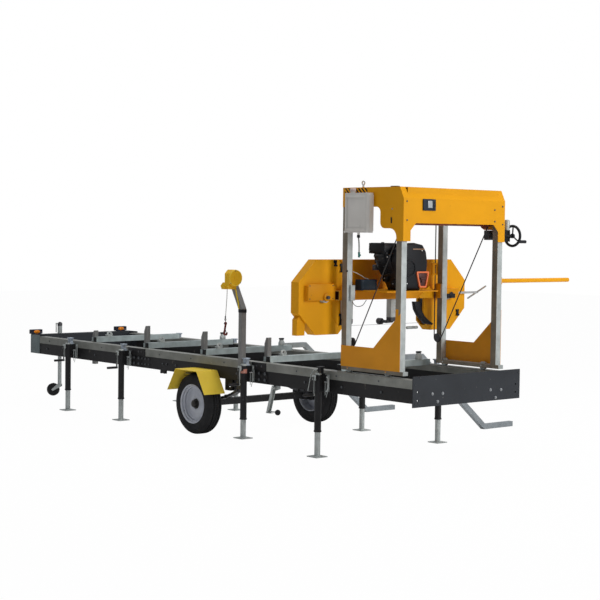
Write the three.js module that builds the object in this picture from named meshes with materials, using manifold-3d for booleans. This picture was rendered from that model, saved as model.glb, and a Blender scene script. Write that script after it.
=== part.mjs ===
// Portable band sawmill on a road trailer: a log track on jacks, and a saw carriage that rolls on it.
// Millimetres. X runs along the track from its far end, Y across it, Z up from the floor.
// Pieces with a twin are shaped for the far side (+Y), and mirrored for the near side.

import * as THREE from 'three';
import { mergeVertices } from 'three/addons/utils/BufferGeometryUtils.js';
import Module from 'manifold-3d';

const wasm = await Module();
wasm.setup();

// Joins and clearances
const gap = 0.3; // air between pieces that touch on the real machine
const weld = 2; // how far welded shapes reach into each other
const overrun = 10; // how far a cutting shape passes what it cuts
const runningGap = 0.4; // radial play of a shaft in its bore

// Track
const trackLength = 6000;
const trackWidth = 1300;
const railTop = 738;
const railDepth = 190;
const railWall = 4;
const railFlange = 112;
const stripWall = 5;
const stripDrop = 73;
const stripLedge = 92;
const sectionCount = 3;
const jointPlateLength = 320;
const jointPlateHeight = 90;
const endPlateWall = 10;
const endPlateRise = 30;
const endPlateHeight = 252;
const endHoleRadius = 9;
const endHolePitch = 70;
const endHoleInset = 55;
const farFrameLength = 190;
const farBeamDepth = 90;
const farFrameWall = 6;
const farFrameRise = 15;

// Bunks and log stops
const bunkCount = 5;
const firstBunkShare = 0.190667;
const firstBunkStation = trackLength * firstBunkShare;
const bunkPitchShare = 0.160667;
const bunkPitch = trackLength * bunkPitchShare;
const bunkSize = 55;
const bunkWall = 3;
const bunkLength = 1084;
const stopSize = 45;
const stopWall = 4;
const stopHeight = 356;
const stopBevelDrop = 55;
const stopBevelWidth = 25;
const stopInset = 14;
const stopSink = 138;
const stopBottom = railTop - stopSink;
const firstStopDrop = 102;
const sleeveWall = 4;
const sleeveHeight = 40;

// Log ramps
const rampStationShares = [0.4783, 0.76];
const rampSize = 50;
const rampWall = 3;
const rampReachInside = 72;
const rampBendOut = 250;
const rampFootOut = 1145;
const rampFootLength = 413;

// Jacks
const jackStationShares = [0.1547, 0.3235, 0.6548, 0.825];
const jackOffset = 90;
const jackTubeRadius = 30;
const jackTubeWall = 4;
const jackSink = 33;
const jackTubeTop = railTop - jackSink;
const jackTubeLength = 490;
const jackLegRadius = jackTubeRadius - jackTubeWall - runningGap;
const jackLegWall = 4;
const jackLegLength = 490;
const footSize = 127;
const footWall = 8;
const bracketWidth = 90;
const bracketWall = 8;
const bracketHeight = 145;
const bracketRibWidth = 36;
const raisedLegIndex = 2;
const raisedLegLift = 43;
const crankBoxSize = 44;
const crankShaftReach = 32;
const crankShaftRadius = 8;
const crankArmLength = 145;
const crankGripLength = 105;
const crankGripRadius = 12;

// Trailer gear
const axleStationShare = 0.54;
const axleStation = trackLength * axleStationShare;
const wheelClearance = 8;
const tyreRadius = 287;
const tyreWidth = 155;
const tyreShoulder = 25.8;
const tyreBulge = 7.8;
const tyreOuterFace = 809;
const rimRadius = 185;
const rimLip = 9;
const rimDiscWall = 10;
const rimDiscSetback = 42;
const hubRadius = 48;
const hubLength = 70;
const hubCapHeight = 26;
const axleSize = 60;
const stubRadius = 22;
const springSpan = 860;
const springRise = 110;
const springWidth = 60;
const springHangerWidth = 30;
const springPack = 24;
const springHangerLength = 46;
const springInset = 64;
const fenderRoom = 36;
const fenderTop = wheelClearance + 2 * tyreRadius + fenderRoom;
const fenderFootRise = 115;
const fenderBottom = wheelClearance + tyreRadius + fenderFootRise;
const fenderTopLength = 335;
const fenderFootLength = 585;
const fenderWall = 3;
const fenderOuterFace = 885;
const fenderTabHeight = 30;

// Jockey wheel
const jockeyAcross = -240;
const jockeyOffset = 62;
const jockeyTubeRadius = 26;
const jockeyTubeWall = 4;
const jockeyCapDepth = 16;
const jockeyTubeSink = 248;
const jockeyTubeBottom = railTop - jockeyTubeSink;
const jockeyTubeRise = 124;
const jockeyTubeTop = railTop + jockeyTubeRise;
const jockeyCollarRadius = 34;
const jockeyCollarHeight = 20;
const jockeyTrail = 73;
const jockeySwivelShare = 0.125;
const jockeyClampHeight = 70;
const jockeyLegRadius = jockeyTubeRadius - jockeyTubeWall - runningGap;
const jockeyWheelRadius = 72;
const jockeyCrownRise = 57.6;
const jockeyWheelWidth = 48;
const jockeyWheelBottom = 32;
const jockeyForkWall = 6;
const jockeyAxleRadius = 8;
const jockeyLegSink = 38;
const jockeyLegTop = railTop - jockeyLegSink;
const jockeyCrankReach = 28;
const jockeyCrankDrop = 100;
const jockeyCrankRadius = 6;

// Davit and winch
const davitStationShare = 0.64;
const davitStation = trackLength * davitStationShare;
const davitSize = 50;
const davitWall = 4;
const davitOffset = 42;
const davitSink = 176;
const davitFoot = railTop - davitSink;
const davitStraight = 477;
const davitBend = railTop + davitStraight;
const davitLean = 150;
const davitRise = 260;
const davitPinRadius = 13;
const davitPinLength = 80;
const davitSocketWall = 7;
const davitShelfWall = 14;
const winchLength = 150;
const winchWidth = 84;
const winchHeight = 180;
const winchRise = 177;
const winchBottom = davitBend + winchRise;
const winchRound = 34;
const winchCaseDepth = 88;
const winchGearRise = 62;
const winchDiscRadius = 75;
const winchDiscDepth = 24;
const winchDiscLip = 17;
const winchBossRadius = 14;
const winchReach = 190;
const winchFarEnd = davitStation - winchReach;
const ropeRadius = 3;
const ropeLength = 300;
const ropeInset = 30;
const ropeDrift = 22;
// Each place on the rope is a share of its drift and of its length.
const ropeRouteShares = [[0, 0], [0, 0.08], [0.15, 0.3], [0.5, 0.55], [0.9, 0.85], [1, 0.94], [1, 1]];
const ropeSteps = 24;
const hookEyeRadius = 15;
const hookBowlRadius = 26;
const hookBackShare = 0.75;
const hookTipShare = 2.1;
const hookThickness = 13;
const hookHeight = 128;

// Carriage side frames
const carriageInset = 38;
const carriageLength = 710;
const carriageEndInset = 194;
const carriageFront = trackLength - carriageEndInset;
const carriageBack = carriageFront - carriageLength;
const postSize = 60;
const postWall = 3;
const baseDrop = 33;
const baseRise = 53;
const baseTop = railTop + baseRise;
const baseWall = 4;
const baseFrontReach = 35;
const rollerRise = 36;
const rollerCentre = railTop + rollerRise;
const rollerWidth = 28;
const backRollerInset = 80;
const frontRollerInset = 166;
const rollerAxleRadius = 8;
const gussetWall = 4;
const gussetLowRise = 228;
const gussetLow = railTop + gussetLowRise;
const gussetBendShare = 0.56;
const gussetHighRise = 529;
const gussetHigh = railTop + gussetHighRise;
const pulleyRadius = 35;
const pulleyWidth = 16;
const pulleyInset = 39;
const pulleyStation = carriageBack + pulleyInset;
const pulleyRise = 255;
const pulleyHeight = railTop + pulleyRise;
const pulleyReach = 30;

// Hood on top of the carriage
const hoodTop = 2300;
const hoodWall = 4;
const hoodOverhang = 20;
const hoodFront = carriageFront + hoodOverhang;
const hoodShoulderDrop = 93;
const hoodShoulder = hoodTop - hoodShoulderDrop;
const hoodShoulderInset = 46;
const hoodFaceDrop = 296;
const hoodFaceBottom = hoodTop - hoodFaceDrop;
const hoodLegDrop = 444;
const hoodLegBottom = hoodTop - hoodLegDrop;
const hoodLegWidth = 84;
const hoodLegFlare = 60;
const hoodSideDrop = 163;
const hoodSideLow = hoodTop - hoodSideDrop;
const hoodStepReach = 191;
const hoodStepRise = 104;
const hoodStepHeight = hoodLegBottom + hoodStepRise;
const hoodLegFillet = 75;
const hoodStepFillet = 50;
const hoodTopFillet = 45;
const filletSteps = 6;
const drumInset = 126;
const drumStation = carriageFront - drumInset;
const drumDrop = 295;
const drumHeight = hoodTop - drumDrop;
const drumWidth = 40;
const drumShaftRadius = 15;
const eyeRadius = 20;
const eyeThickness = 8;
const eyeInset = 214;
const eyeStation = carriageBack + eyeInset;
const cableRadius = 5;

// Water tank and its hose
const tankInset = 90;
const tankStation = carriageBack + tankInset;
const tankLength = 300;
const tankDepth = 75;
const tankHeight = 330;
const tankDrop = 48;
const tankTop = hoodTop - tankDrop;
const tankRound = 18;
const tankCapRadius = 22;
const tankCapHeight = 14;
const outletRadius = 11;
const outletLength = 16;
const hoseRadius = 6;
const hoseLength = 150;
const hoseDrift = 9;
const hoseRouteShares = [[0, 0], [0, 0.15], [0.67, 0.4], [1, 0.7], [1, 1]];
const hoseSteps = 12;
const tapRadius = 10;
const tapLength = 44;
const tapLeverWidth = 22;

// Lift handwheel and push bar
const handwheelInset = 30;
const handwheelStation = carriageFront - handwheelInset;
const handwheelDrop = 389;
const handwheelHeight = hoodTop - handwheelDrop;
const handwheelRadius = 98;
const handwheelRim = 11;
const handwheelSpokeRadius = 6.3;
const handwheelHubRadius = 20;
const handwheelSpokes = 3;
const handwheelOffset = 165;
const handwheelShaftRadius = 10;
const handwheelBossRadius = 20;
const handwheelBossLength = 26;
const knobAngle = -0.6;
const knobRadius = 14;
const knobLength = 90;
// The push bar stands at this share of the way from the rails up to the hood.
const pushBarHeightShare = 0.50064;
const pushBarHeight = railTop + (hoodTop - railTop) * pushBarHeightShare;
const pushBarRadius = 19;
const pushBarReach = 936;
const pushBarFlange = 58;
const pushBarFlangeWall = 8;

// Saw head
const guardLead = 196;
const guardBack = carriageBack - guardLead;
const guardDepth = 100;
const guardMouthMargin = 20;
const guardWall = 3;
const guardInner = 480;
const guardOuter = 1015;
// The saw head stands at this share of the way from the rails up to the hood.
const bandWheelHeightShare = 0.40461;
const bandWheelHeight = railTop + (hoodTop - railTop) * bandWheelHeightShare;
const guardHalfHeight = 320;
const guardBottom = bandWheelHeight - guardHalfHeight;
const guardTop = bandWheelHeight + guardHalfHeight;
const guardCornerShare = 0.356;
const guardInnerCornerShare = 0.16;
const bandWheelAcross = 745;
const bandWheelRadius = 254;
const bandWheelWidth = 36;
const bandWheelRim = 16;
const bandWheelWeb = 8;
const bandWheelHub = 38;
const bandShaftRadius = 15;
const bladeWall = 1.1;
const bladeWidth = 34;
const bladeSteps = 48;
const bladePlay = 0.2;
const beamSize = 80;
const beamSink = 25;
const beamBottom = bandWheelHeight - beamSink;
const beamWall = 4;
const beamNearEnd = -630;
const beamFarEnd = 850;
const bearingRadius = 45;
const bearingBoxDepth = 40;
const bearingBoxHeight = 123;
const bearingBoxReach = 205;
const shoeHeight = 130;
const shoeFace = 18;
const engineBaseWall = 9;
const engineBaseReach = 404;
const engineBaseFront = carriageBack + engineBaseReach;
const engineBaseNear = -470;
const engineBaseFar = 140;
const bandCoverHeight = 275;
const coverWall = 12;
const guideArmPlaces = [54, -495];
const guideRollerPlaces = [-20, -440];
const guideArmWidth = 90;
const guideArmDepth = 60;
const guideRollerRadius = 28;
const guideRollerLength = 44;
const chuteReach = 87;
const chuteRise = 135;
const chuteInset = 20;
const chuteBoreDepth = 9;
const screwRadius = 10;
const screwLength = 297;
const screwBuried = 40;
const screwBarLength = 256;
const screwBarRadius = 8;
const screwBarRiseShare = 0.48;
const screwEndWall = 10;

// Engine
const engineInset = 29;
const engineBack = carriageBack + engineInset;
const engineLength = 350;
const engineWidth = 400;
const engineAcross = -150;
const crankcaseHeight = 190;
const crankcaseFoot = 180;
const crankcaseShoulder = 70;
const shroudRise = 142.5;
const silencerRise = 223;
const cylinderRadius = 62;
const cylinderLength = 230;
const cylinderLeanShare = 0.55;
const shroudRadius = 128;
const shroudDepth = 60;
const airBoxLength = 190;
const airBoxWidth = 150;
const airBoxHeight = 95;
const silencerRadius = 52;
const silencerLength = 260;
const engineHeight = 411;

// Round shapes: sides of small rods, of large rounds, and of tyres
const rodSides = 8;
const roundSides = 20;
const wheelSides = 30;

// Positions that follow from the sizes above
const halfTrack = trackWidth / 2;
const railBottom = railTop - railDepth;
const webFace = halfTrack - stripWall - gap;
const railStart = farFrameLength + gap;
const railEnd = trackLength - endPlateWall - gap;
const bunkBottom = railTop - stripWall;
const bunkTop = bunkBottom + bunkSize;
const bunkEnd = bunkLength / 2;
const frameFace = halfTrack - carriageInset;
const postInner = frameFace - postSize;
const postMiddle = frameFace - postSize / 2;
const cablePlane = postInner - pulleyReach;
const frameTop = hoodTop - hoodWall - gap;
const guardFront = guardBack + guardDepth;
const bandPlane = guardBack + guardDepth / 2;
const beamBack = guardFront + gap;
const beamFront = beamBack + beamSize;
const beamTop = beamBottom + beamSize;
const beamCentre = beamBottom + beamSize / 2;
const wheelHeight = tyreRadius + wheelClearance;
const engineFloor = beamTop + engineBaseWall + gap;

// Finishes
const finishes = {
  galvanised: { color: 0x9aa3a2, roughness: 0.45, metalness: 0.8 },
  black: { color: 0x26272a, roughness: 0.55, metalness: 0.3 },
  charcoal: { color: 0x3a3b3e, roughness: 0.5, metalness: 0.4 },
  yellow: { color: 0xe0b32a, roughness: 0.4, metalness: 0.1 },
  orange: { color: 0xd9682a, roughness: 0.45, metalness: 0.1 },
  rubber: { color: 0x1c1d1f, roughness: 0.85, metalness: 0 },
  grey: { color: 0x9c9a94, roughness: 0.5, metalness: 0.1 },
  steel: { color: 0xb4b7ba, roughness: 0.3, metalness: 0.9 },
  red: { color: 0x6e1f22, roughness: 0.5, metalness: 0.3 },
};

// Solid geometry helpers

function turnedInsideOut(geometry) {
  const flipped = geometry.clone();
  const order = Array.from(flipped.index.array);
  for (let i = 0; i < order.length; i += 3) {
    [order[i], order[i + 1]] = [order[i + 1], order[i]];
  }
  flipped.setIndex(order);
  return flipped;
}

function closedMesh(geometry) {
  const bare = geometry.clone();
  bare.deleteAttribute('normal');
  bare.deleteAttribute('uv');
  return mergeVertices(bare);
}

function signedVolume(geometry) {
  const corners = geometry.attributes.position;
  const order = geometry.index.array;
  const a = new THREE.Vector3();
  const b = new THREE.Vector3();
  const c = new THREE.Vector3();
  let sum = 0;
  for (let i = 0; i < order.length; i += 3) {
    a.fromBufferAttribute(corners, order[i]);
    b.fromBufferAttribute(corners, order[i + 1]);
    c.fromBufferAttribute(corners, order[i + 2]);
    sum += a.dot(b.cross(c));
  }
  return sum;
}

function toSolid(geometry) {
  let mesh = closedMesh(geometry);
  if (signedVolume(mesh) < 0) {
    mesh = turnedInsideOut(mesh);
  }
  return new wasm.Manifold(new wasm.Mesh({
    numProp: 3,
    vertProperties: new Float32Array(mesh.attributes.position.array),
    triVerts: new Uint32Array(mesh.index.array),
  }));
}

function toGeometry(shape) {
  const mesh = shape.getMesh();
  const geometry = new THREE.BufferGeometry();
  geometry.setAttribute('position', new THREE.BufferAttribute(mesh.vertProperties, 3));
  geometry.setIndex(new THREE.BufferAttribute(mesh.triVerts, 1));
  return geometry;
}

function join(...parts) {
  return toGeometry(parts.map(toSolid).reduce((whole, part) => whole.add(part)));
}

function cut(body, ...tools) {
  return toGeometry(tools.map(toSolid).reduce((rest, tool) => rest.subtract(tool), toSolid(body)));
}

function box([x0, x1], [y0, y1], [z0, z1]) {
  const block = new THREE.BoxGeometry(x1 - x0, y1 - y0, z1 - z0);
  return block.translate((x0 + x1) / 2, (y0 + y1) / 2, (z0 + z1) / 2);
}

function rod(radius, from, to, sides = rodSides) {
  const start = new THREE.Vector3(...from);
  const run = new THREE.Vector3(...to).sub(start);
  const length = run.length();
  const turn = new THREE.Quaternion().setFromUnitVectors(new THREE.Vector3(0, 1, 0), run.normalize());
  const middle = start.addScaledVector(run, length / 2);
  return new THREE.CylinderGeometry(radius, radius, length, sides)
    .applyQuaternion(turn)
    .translate(middle.x, middle.y, middle.z);
}

// A flat outline pushed along one axis. Its points are the two other coordinates in X, Y, Z order.
function prism(points, axis, [from, to]) {
  const outline = new THREE.Shape(points.map(([u, v]) => new THREE.Vector2(u, v)));
  const block = new THREE.ExtrudeGeometry(outline, { depth: to - from, bevelEnabled: false });
  if (axis === 'z') {
    return block.translate(0, 0, from);
  }
  const turn = new THREE.Matrix4();
  if (axis === 'x') {
    turn.makeBasis(new THREE.Vector3(0, 1, 0), new THREE.Vector3(0, 0, 1), new THREE.Vector3(1, 0, 0));
    return block.applyMatrix4(turn).translate(from, 0, 0);
  }
  turn.makeBasis(new THREE.Vector3(1, 0, 0), new THREE.Vector3(0, 0, 1), new THREE.Vector3(0, -1, 0));
  return block.applyMatrix4(turn).translate(0, to, 0);
}

// A closed profile of [radius, distance along the axis] points, turned about an axis through a centre.
function turned(profile, axis, centre, sides) {
  const points = [...profile, profile[0]].map(([r, h]) => new THREE.Vector2(r, h));
  const round = new THREE.LatheGeometry(points, sides);
  if (axis === 'x') {
    round.rotateZ(-Math.PI / 2);
  }
  if (axis === 'z') {
    round.rotateX(Math.PI / 2);
  }
  return round.translate(...centre);
}

// The path moved sideways by a distance, with its corners kept sharp.
function offsetPath(path, distance, closed = false) {
  const count = path.length;
  const normalOf = (i) => {
    const [u0, v0] = path[(i + count) % count];
    const [u1, v1] = path[(i + 1) % count];
    const length = Math.hypot(u1 - u0, v1 - v0);
    return [-(v1 - v0) / length, (u1 - u0) / length];
  };
  return path.map(([u, v], i) => {
    const before = closed || i > 0 ? normalOf(i - 1) : normalOf(i);
    const after = closed || i < count - 1 ? normalOf(i) : normalOf(i - 1);
    const share = distance / (1 + before[0] * after[0] + before[1] * after[1]);
    return [u + (before[0] + after[0]) * share, v + (before[1] + after[1]) * share];
  });
}

function band(path, thickness) {
  return [...offsetPath(path, thickness / 2), ...offsetPath(path, -thickness / 2).reverse()];
}

function arc(centre, radius, fromAngle, toAngle, steps) {
  return Array.from({ length: steps + 1 }, (_, i) => {
    const angle = fromAngle + ((toAngle - fromAngle) * i) / steps;
    return [centre[0] + radius * Math.cos(angle), centre[1] + radius * Math.sin(angle)];
  });
}

// The arc that rounds a square corner between two others.
function filleted(before, corner, after, radius) {
  const towards = (end) => {
    const length = Math.hypot(end[0] - corner[0], end[1] - corner[1]);
    return [(end[0] - corner[0]) / length, (end[1] - corner[1]) / length];
  };
  const back = towards(before);
  const on = towards(after);
  return Array.from({ length: filletSteps + 1 }, (_, i) => {
    const angle = (Math.PI / 2) * (i / filletSteps);
    const backShare = 1 - Math.sin(angle);
    const onShare = 1 - Math.cos(angle);
    return [
      corner[0] + radius * (back[0] * backShare + on[0] * onShare),
      corner[1] + radius * (back[1] * backShare + on[1] * onShare),
    ];
  });
}

function lengthened(path, extra) {
  const push = ([u0, v0], [u1, v1]) => {
    const length = Math.hypot(u1 - u0, v1 - v0);
    return [u1 + ((u1 - u0) / length) * extra, v1 + ((v1 - v0) / length) * extra];
  };
  const last = path.length - 1;
  return [push(path[1], path[0]), ...path.slice(1, last), push(path[last - 1], path[last])];
}

// A square tube, open at both ends, that follows a bent path in the plane across the given axis.
function bentTube(path, size, wall, axis, middle) {
  const outside = prism(band(path, size), axis, [middle - size / 2, middle + size / 2]);
  const bore = size - 2 * wall;
  const inside = prism(band(lengthened(path, overrun), bore), axis, [middle - bore / 2, middle + bore / 2]);
  return cut(outside, inside);
}

function tubeAlong(points, radius, sides, steps) {
  const path = new THREE.CatmullRomCurve3(points.map((p) => new THREE.Vector3(...p)), false, 'centripetal');
  const section = new THREE.Shape(arc([0, 0], radius, 0, 2 * Math.PI, sides)
    .slice(0, sides)
    .map(([u, v]) => new THREE.Vector2(u, v)));
  return new THREE.ExtrudeGeometry(section, { steps, bevelEnabled: false, extrudePath: path });
}

function mirrored(geometry) {
  return turnedInsideOut(closedMesh(geometry).scale(1, -1, 1));
}

function onSide(side, geometry) {
  return side < 0 ? mirrored(geometry) : geometry;
}

const sawmill = new THREE.Group();

function addPiece(name, geometry, finish) {
  const mesh = new THREE.Mesh(geometry, new THREE.MeshStandardMaterial(finish));
  mesh.name = name;
  sawmill.add(mesh);
}

// Track

function rail() {
  const top = railTop - stripWall - gap;
  const channel = prism([
    [webFace, railBottom],
    [webFace, top],
    [webFace - railFlange, top],
    [webFace - railFlange, top - railWall],
    [webFace - railWall, top - railWall],
    [webFace - railWall, railBottom + railWall],
    [webFace - railFlange, railBottom + railWall],
    [webFace - railFlange, railBottom],
  ], 'x', [railStart, railEnd]);
  const strip = prism([
    [halfTrack, railTop - stripDrop],
    [halfTrack, railTop],
    [halfTrack - stripLedge, railTop],
    [halfTrack - stripLedge, top - weld / 2],
    [webFace - weld / 2, top - weld / 2],
    [webFace - weld / 2, railTop - stripDrop],
  ], 'x', [railStart, railEnd]);
  const plates = [];
  for (let section = 1; section < sectionCount; section += 1) {
    const joint = (trackLength / sectionCount) * section;
    plates.push(box(
      [joint - jointPlateLength / 2, joint + jointPlateLength / 2],
      [webFace - weld, webFace + stripWall],
      [railBottom + railWall, railBottom + railWall + jointPlateHeight],
    ));
  }
  return join(channel, strip, ...plates);
}

function davitSocket() {
  const centre = halfTrack + davitOffset;
  const outer = davitPinRadius + runningGap + davitSocketWall;
  const top = davitFoot - gap;
  const shelf = box(
    [davitStation - davitSize / 2, davitStation + davitSize / 2],
    [webFace - weld, centre + davitSize / 2],
    [top - davitShelfWall, top],
  );
  const socket = rod(outer, [davitStation, centre, top - davitPinLength], [davitStation, centre, top - weld]);
  const bore = rod(
    davitPinRadius + runningGap,
    [davitStation, centre, top - davitPinLength - overrun],
    [davitStation, centre, top + overrun],
    roundSides,
  );
  return cut(join(shelf, socket), bore);
}

function endPlate() {
  const top = railTop + endPlateRise;
  const plate = box(
    [trackLength - endPlateWall, trackLength],
    [-halfTrack, halfTrack],
    [top - endPlateHeight, top],
  );
  const holes = [-1, 1].flatMap((side) => [0, 1].map((row) => {
    const across = side * (halfTrack - endHoleInset);
    const height = top - endPlateHeight / 2 + row * endHolePitch - endHolePitch;
    return rod(
      endHoleRadius,
      [trackLength - endPlateWall - overrun, across, height],
      [trackLength + overrun, across, height],
    );
  }));
  return cut(plate, ...holes);
}

function farEndFrame() {
  const top = railTop + farFrameRise;
  const beam = box([0, farBeamDepth], [-halfTrack, halfTrack], [railBottom, top]);
  const hollow = box(
    [farFrameWall, farBeamDepth - farFrameWall],
    [-halfTrack - overrun, halfTrack + overrun],
    [railBottom + farFrameWall, top - farFrameWall],
  );
  const wing = box(
    [farBeamDepth - weld, farFrameLength],
    [halfTrack - farFrameWall, halfTrack],
    [railBottom, top],
  );
  return join(cut(beam, hollow), wing, mirrored(wing));
}

function bunk(station) {
  const half = bunkSize / 2;
  const tube = box([station - half, station + half], [-bunkEnd, bunkEnd], [bunkBottom, bunkTop]);
  const bore = box(
    [station - half + bunkWall, station + half - bunkWall],
    [-bunkEnd - overrun, bunkEnd + overrun],
    [bunkBottom + bunkWall, bunkTop - bunkWall],
  );
  return cut(tube, bore);
}

// The sleeve that guides a log stop, on the side of its bunk that faces the far end.
function stopSleeve(station) {
  const front = station - bunkSize / 2;
  const back = front - weld / 2 - stopSize - 2 * gap;
  const start = -bunkEnd + stopInset;
  const end = start + stopSize;
  const middle = (bunkBottom + bunkTop) / 2;
  const heights = [middle - sleeveHeight / 2, middle + sleeveHeight / 2];
  const block = box(
    [back - sleeveWall, front + weld],
    [start - gap - sleeveWall, end + gap + sleeveWall],
    heights,
  );
  const opening = box(
    [back, front - weld / 2],
    [start - gap, end + gap],
    [heights[0] - overrun, heights[1] + overrun],
  );
  return cut(block, opening);
}

function logStop(station, bottom) {
  const front = station - bunkSize / 2 - weld / 2 - gap;
  const back = front - stopSize;
  const start = -bunkEnd + stopInset;
  const top = bottom + stopHeight;
  const outline = [
    [back, bottom],
    [front, bottom],
    [front, top],
    [back + stopBevelWidth, top],
    [back, top - stopBevelDrop],
  ];
  const bore = box(
    [back + stopWall, front - stopWall],
    [start + stopWall, start + stopSize - stopWall],
    [bottom - overrun, top - stopBevelDrop - stopWall],
  );
  return cut(prism(outline, 'y', [start, start + stopSize]), bore);
}

function logRamp(station) {
  const half = rampSize / 2;
  const high = railTop + gap + half;
  const path = [
    [halfTrack - rampReachInside, high],
    [halfTrack + rampBendOut, high],
    [halfTrack + rampFootOut, half],
    [halfTrack + rampFootOut + rampFootLength, half],
  ];
  return bentTube(path, rampSize, rampWall, 'x', station);
}

// Jacks

function jackBracketCrank(station, centre) {
  const height = jackTubeTop - crankBoxSize / 2;
  const gear = box(
    [station - crankBoxSize / 2, station + crankBoxSize / 2],
    [centre, centre + jackTubeRadius + crankBoxSize / 2],
    [height - crankBoxSize / 2, jackTubeTop],
  );
  const shaftEnd = centre + jackTubeRadius + crankShaftReach;
  const shaft = rod(crankShaftRadius, [station, centre, height], [station, shaftEnd, height]);
  const arm = rod(
    crankShaftRadius,
    [station, shaftEnd - crankShaftRadius, height + crankShaftRadius],
    [station, shaftEnd - crankShaftRadius, height - crankArmLength],
  );
  const grip = rod(
    crankGripRadius,
    [station, shaftEnd - 2 * crankShaftRadius, height - crankArmLength],
    [station, shaftEnd + crankGripLength, height - crankArmLength],
  );
  return join(gear, shaft, arm, grip);
}

function jackTube(station) {
  const centre = halfTrack + jackOffset;
  const bottom = jackTubeTop - jackTubeLength;
  const tube = rod(jackTubeRadius, [station, centre, bottom], [station, centre, jackTubeTop], roundSides);
  const plate = box(
    [station - bracketWidth / 2, station + bracketWidth / 2],
    [halfTrack + gap, halfTrack + gap + bracketWall],
    [jackTubeTop - bracketHeight, jackTubeTop],
  );
  const rib = box(
    [station - bracketRibWidth / 2, station + bracketRibWidth / 2],
    [halfTrack + gap + bracketWall - weld, centre],
    [jackTubeTop - bracketHeight, jackTubeTop],
  );
  const bore = rod(
    jackTubeRadius - jackTubeWall,
    [station, centre, bottom - overrun],
    [station, centre, jackTubeTop + overrun],
    roundSides,
  );
  return cut(join(tube, plate, rib, jackBracketCrank(station, centre)), bore);
}

function jackLeg(station, lift) {
  const centre = halfTrack + jackOffset;
  const top = lift + jackLegLength;
  const leg = rod(jackLegRadius, [station, centre, lift], [station, centre, top], roundSides);
  const bore = rod(
    jackLegRadius - jackLegWall,
    [station, centre, lift + footWall],
    [station, centre, top + overrun],
    roundSides,
  );
  const foot = box(
    [station - footSize / 2, station + footSize / 2],
    [centre - footSize / 2, centre + footSize / 2],
    [lift, lift + footWall],
  );
  return join(cut(leg, bore), foot);
}

// Trailer gear

function springPath() {
  const half = springSpan / 2;
  const radius = (half * half + springRise * springRise) / (2 * springRise);
  const spread = Math.asin(half / radius);
  const low = wheelHeight + axleSize / 2 + springPack / 2;
  const bottom = -Math.PI / 2;
  return arc([axleStation, low + radius], radius, bottom - spread, bottom + spread, roundSides / 2);
}

function leafSpring() {
  const middle = halfTrack - springInset;
  const across = [middle - springWidth / 2, middle + springWidth / 2];
  const path = springPath();
  const leaves = prism(band(path, springPack), 'y', across);
  const hangers = [path[0], path[path.length - 1]].map(([station, height]) => box(
    [station - springHangerLength / 2, station + springHangerLength / 2],
    [middle - springHangerWidth / 2, middle + springHangerWidth / 2],
    [height - springPack / 2, railBottom - gap],
  ));
  return join(leaves, ...hangers);
}

function axle() {
  const beamHalf = tyreOuterFace - tyreWidth - hubLength / 2;
  const half = axleSize / 2;
  const beam = box(
    [axleStation - half, axleStation + half],
    [-beamHalf, beamHalf],
    [wheelHeight - half, wheelHeight + half + weld],
  );
  const stubEnd = tyreOuterFace - rimDiscSetback - rimDiscWall;
  const stub = rod(
    stubRadius,
    [axleStation, -stubEnd, wheelHeight],
    [axleStation, stubEnd, wheelHeight],
    roundSides,
  );
  const spring = leafSpring();
  return join(beam, stub, spring, mirrored(spring));
}

function roadWheel() {
  const face = tyreOuterFace;
  const back = face - tyreWidth;
  const crown = tyreRadius;
  const bead = rimRadius - rimLip;
  const discFront = face - rimDiscSetback;
  const discBack = discFront - rimDiscWall;
  const hubBack = back - hubLength / 2 + gap;
  const bore = stubRadius + runningGap;
  const tyre = [
    [bead, back + tyreBulge],
    [rimRadius, back + tyreBulge],
    [(crown + rimRadius) / 2, back],
    [crown - tyreShoulder, back + tyreBulge],
    [crown - tyreBulge, back + tyreShoulder],
    [crown, back + 2 * tyreShoulder],
    [crown, face - 2 * tyreShoulder],
    [crown - tyreBulge, face - tyreShoulder],
    [crown - tyreShoulder, face - tyreBulge],
    [(crown + rimRadius) / 2, face],
    [rimRadius, face - tyreBulge],
    [bead, face - tyreBulge],
  ];
  const rim = [
    [bead - rimLip, discFront],
    [hubRadius, discFront + rimLip],
    [hubRadius, discFront + hubCapHeight],
    [0, discFront + hubCapHeight],
    [0, discBack + gap],
    [bore, discBack + gap],
    [bore, hubBack],
    [hubRadius, hubBack],
    [hubRadius, discBack],
    [bead - rimLip, discBack - rimLip],
    [bead - rimLip, back + tyreBulge],
  ];
  return turned([...tyre, ...rim], 'y', [axleStation, 0, wheelHeight], wheelSides);
}

function fender() {
  const half = fenderTopLength / 2;
  const foot = fenderFootLength / 2;
  const path = [
    [axleStation - foot, fenderBottom],
    [axleStation - half, fenderTop],
    [axleStation + half, fenderTop],
    [axleStation + foot, fenderBottom],
  ];
  const shell = prism(band(path, fenderWall), 'y', [webFace + gap, fenderOuterFace]);
  const tab = box(
    [axleStation - half, axleStation + half],
    [webFace + gap, webFace + gap + fenderWall],
    [fenderTop - fenderTabHeight, fenderTop],
  );
  return join(shell, tab);
}

// Jockey wheel at the far end

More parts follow.
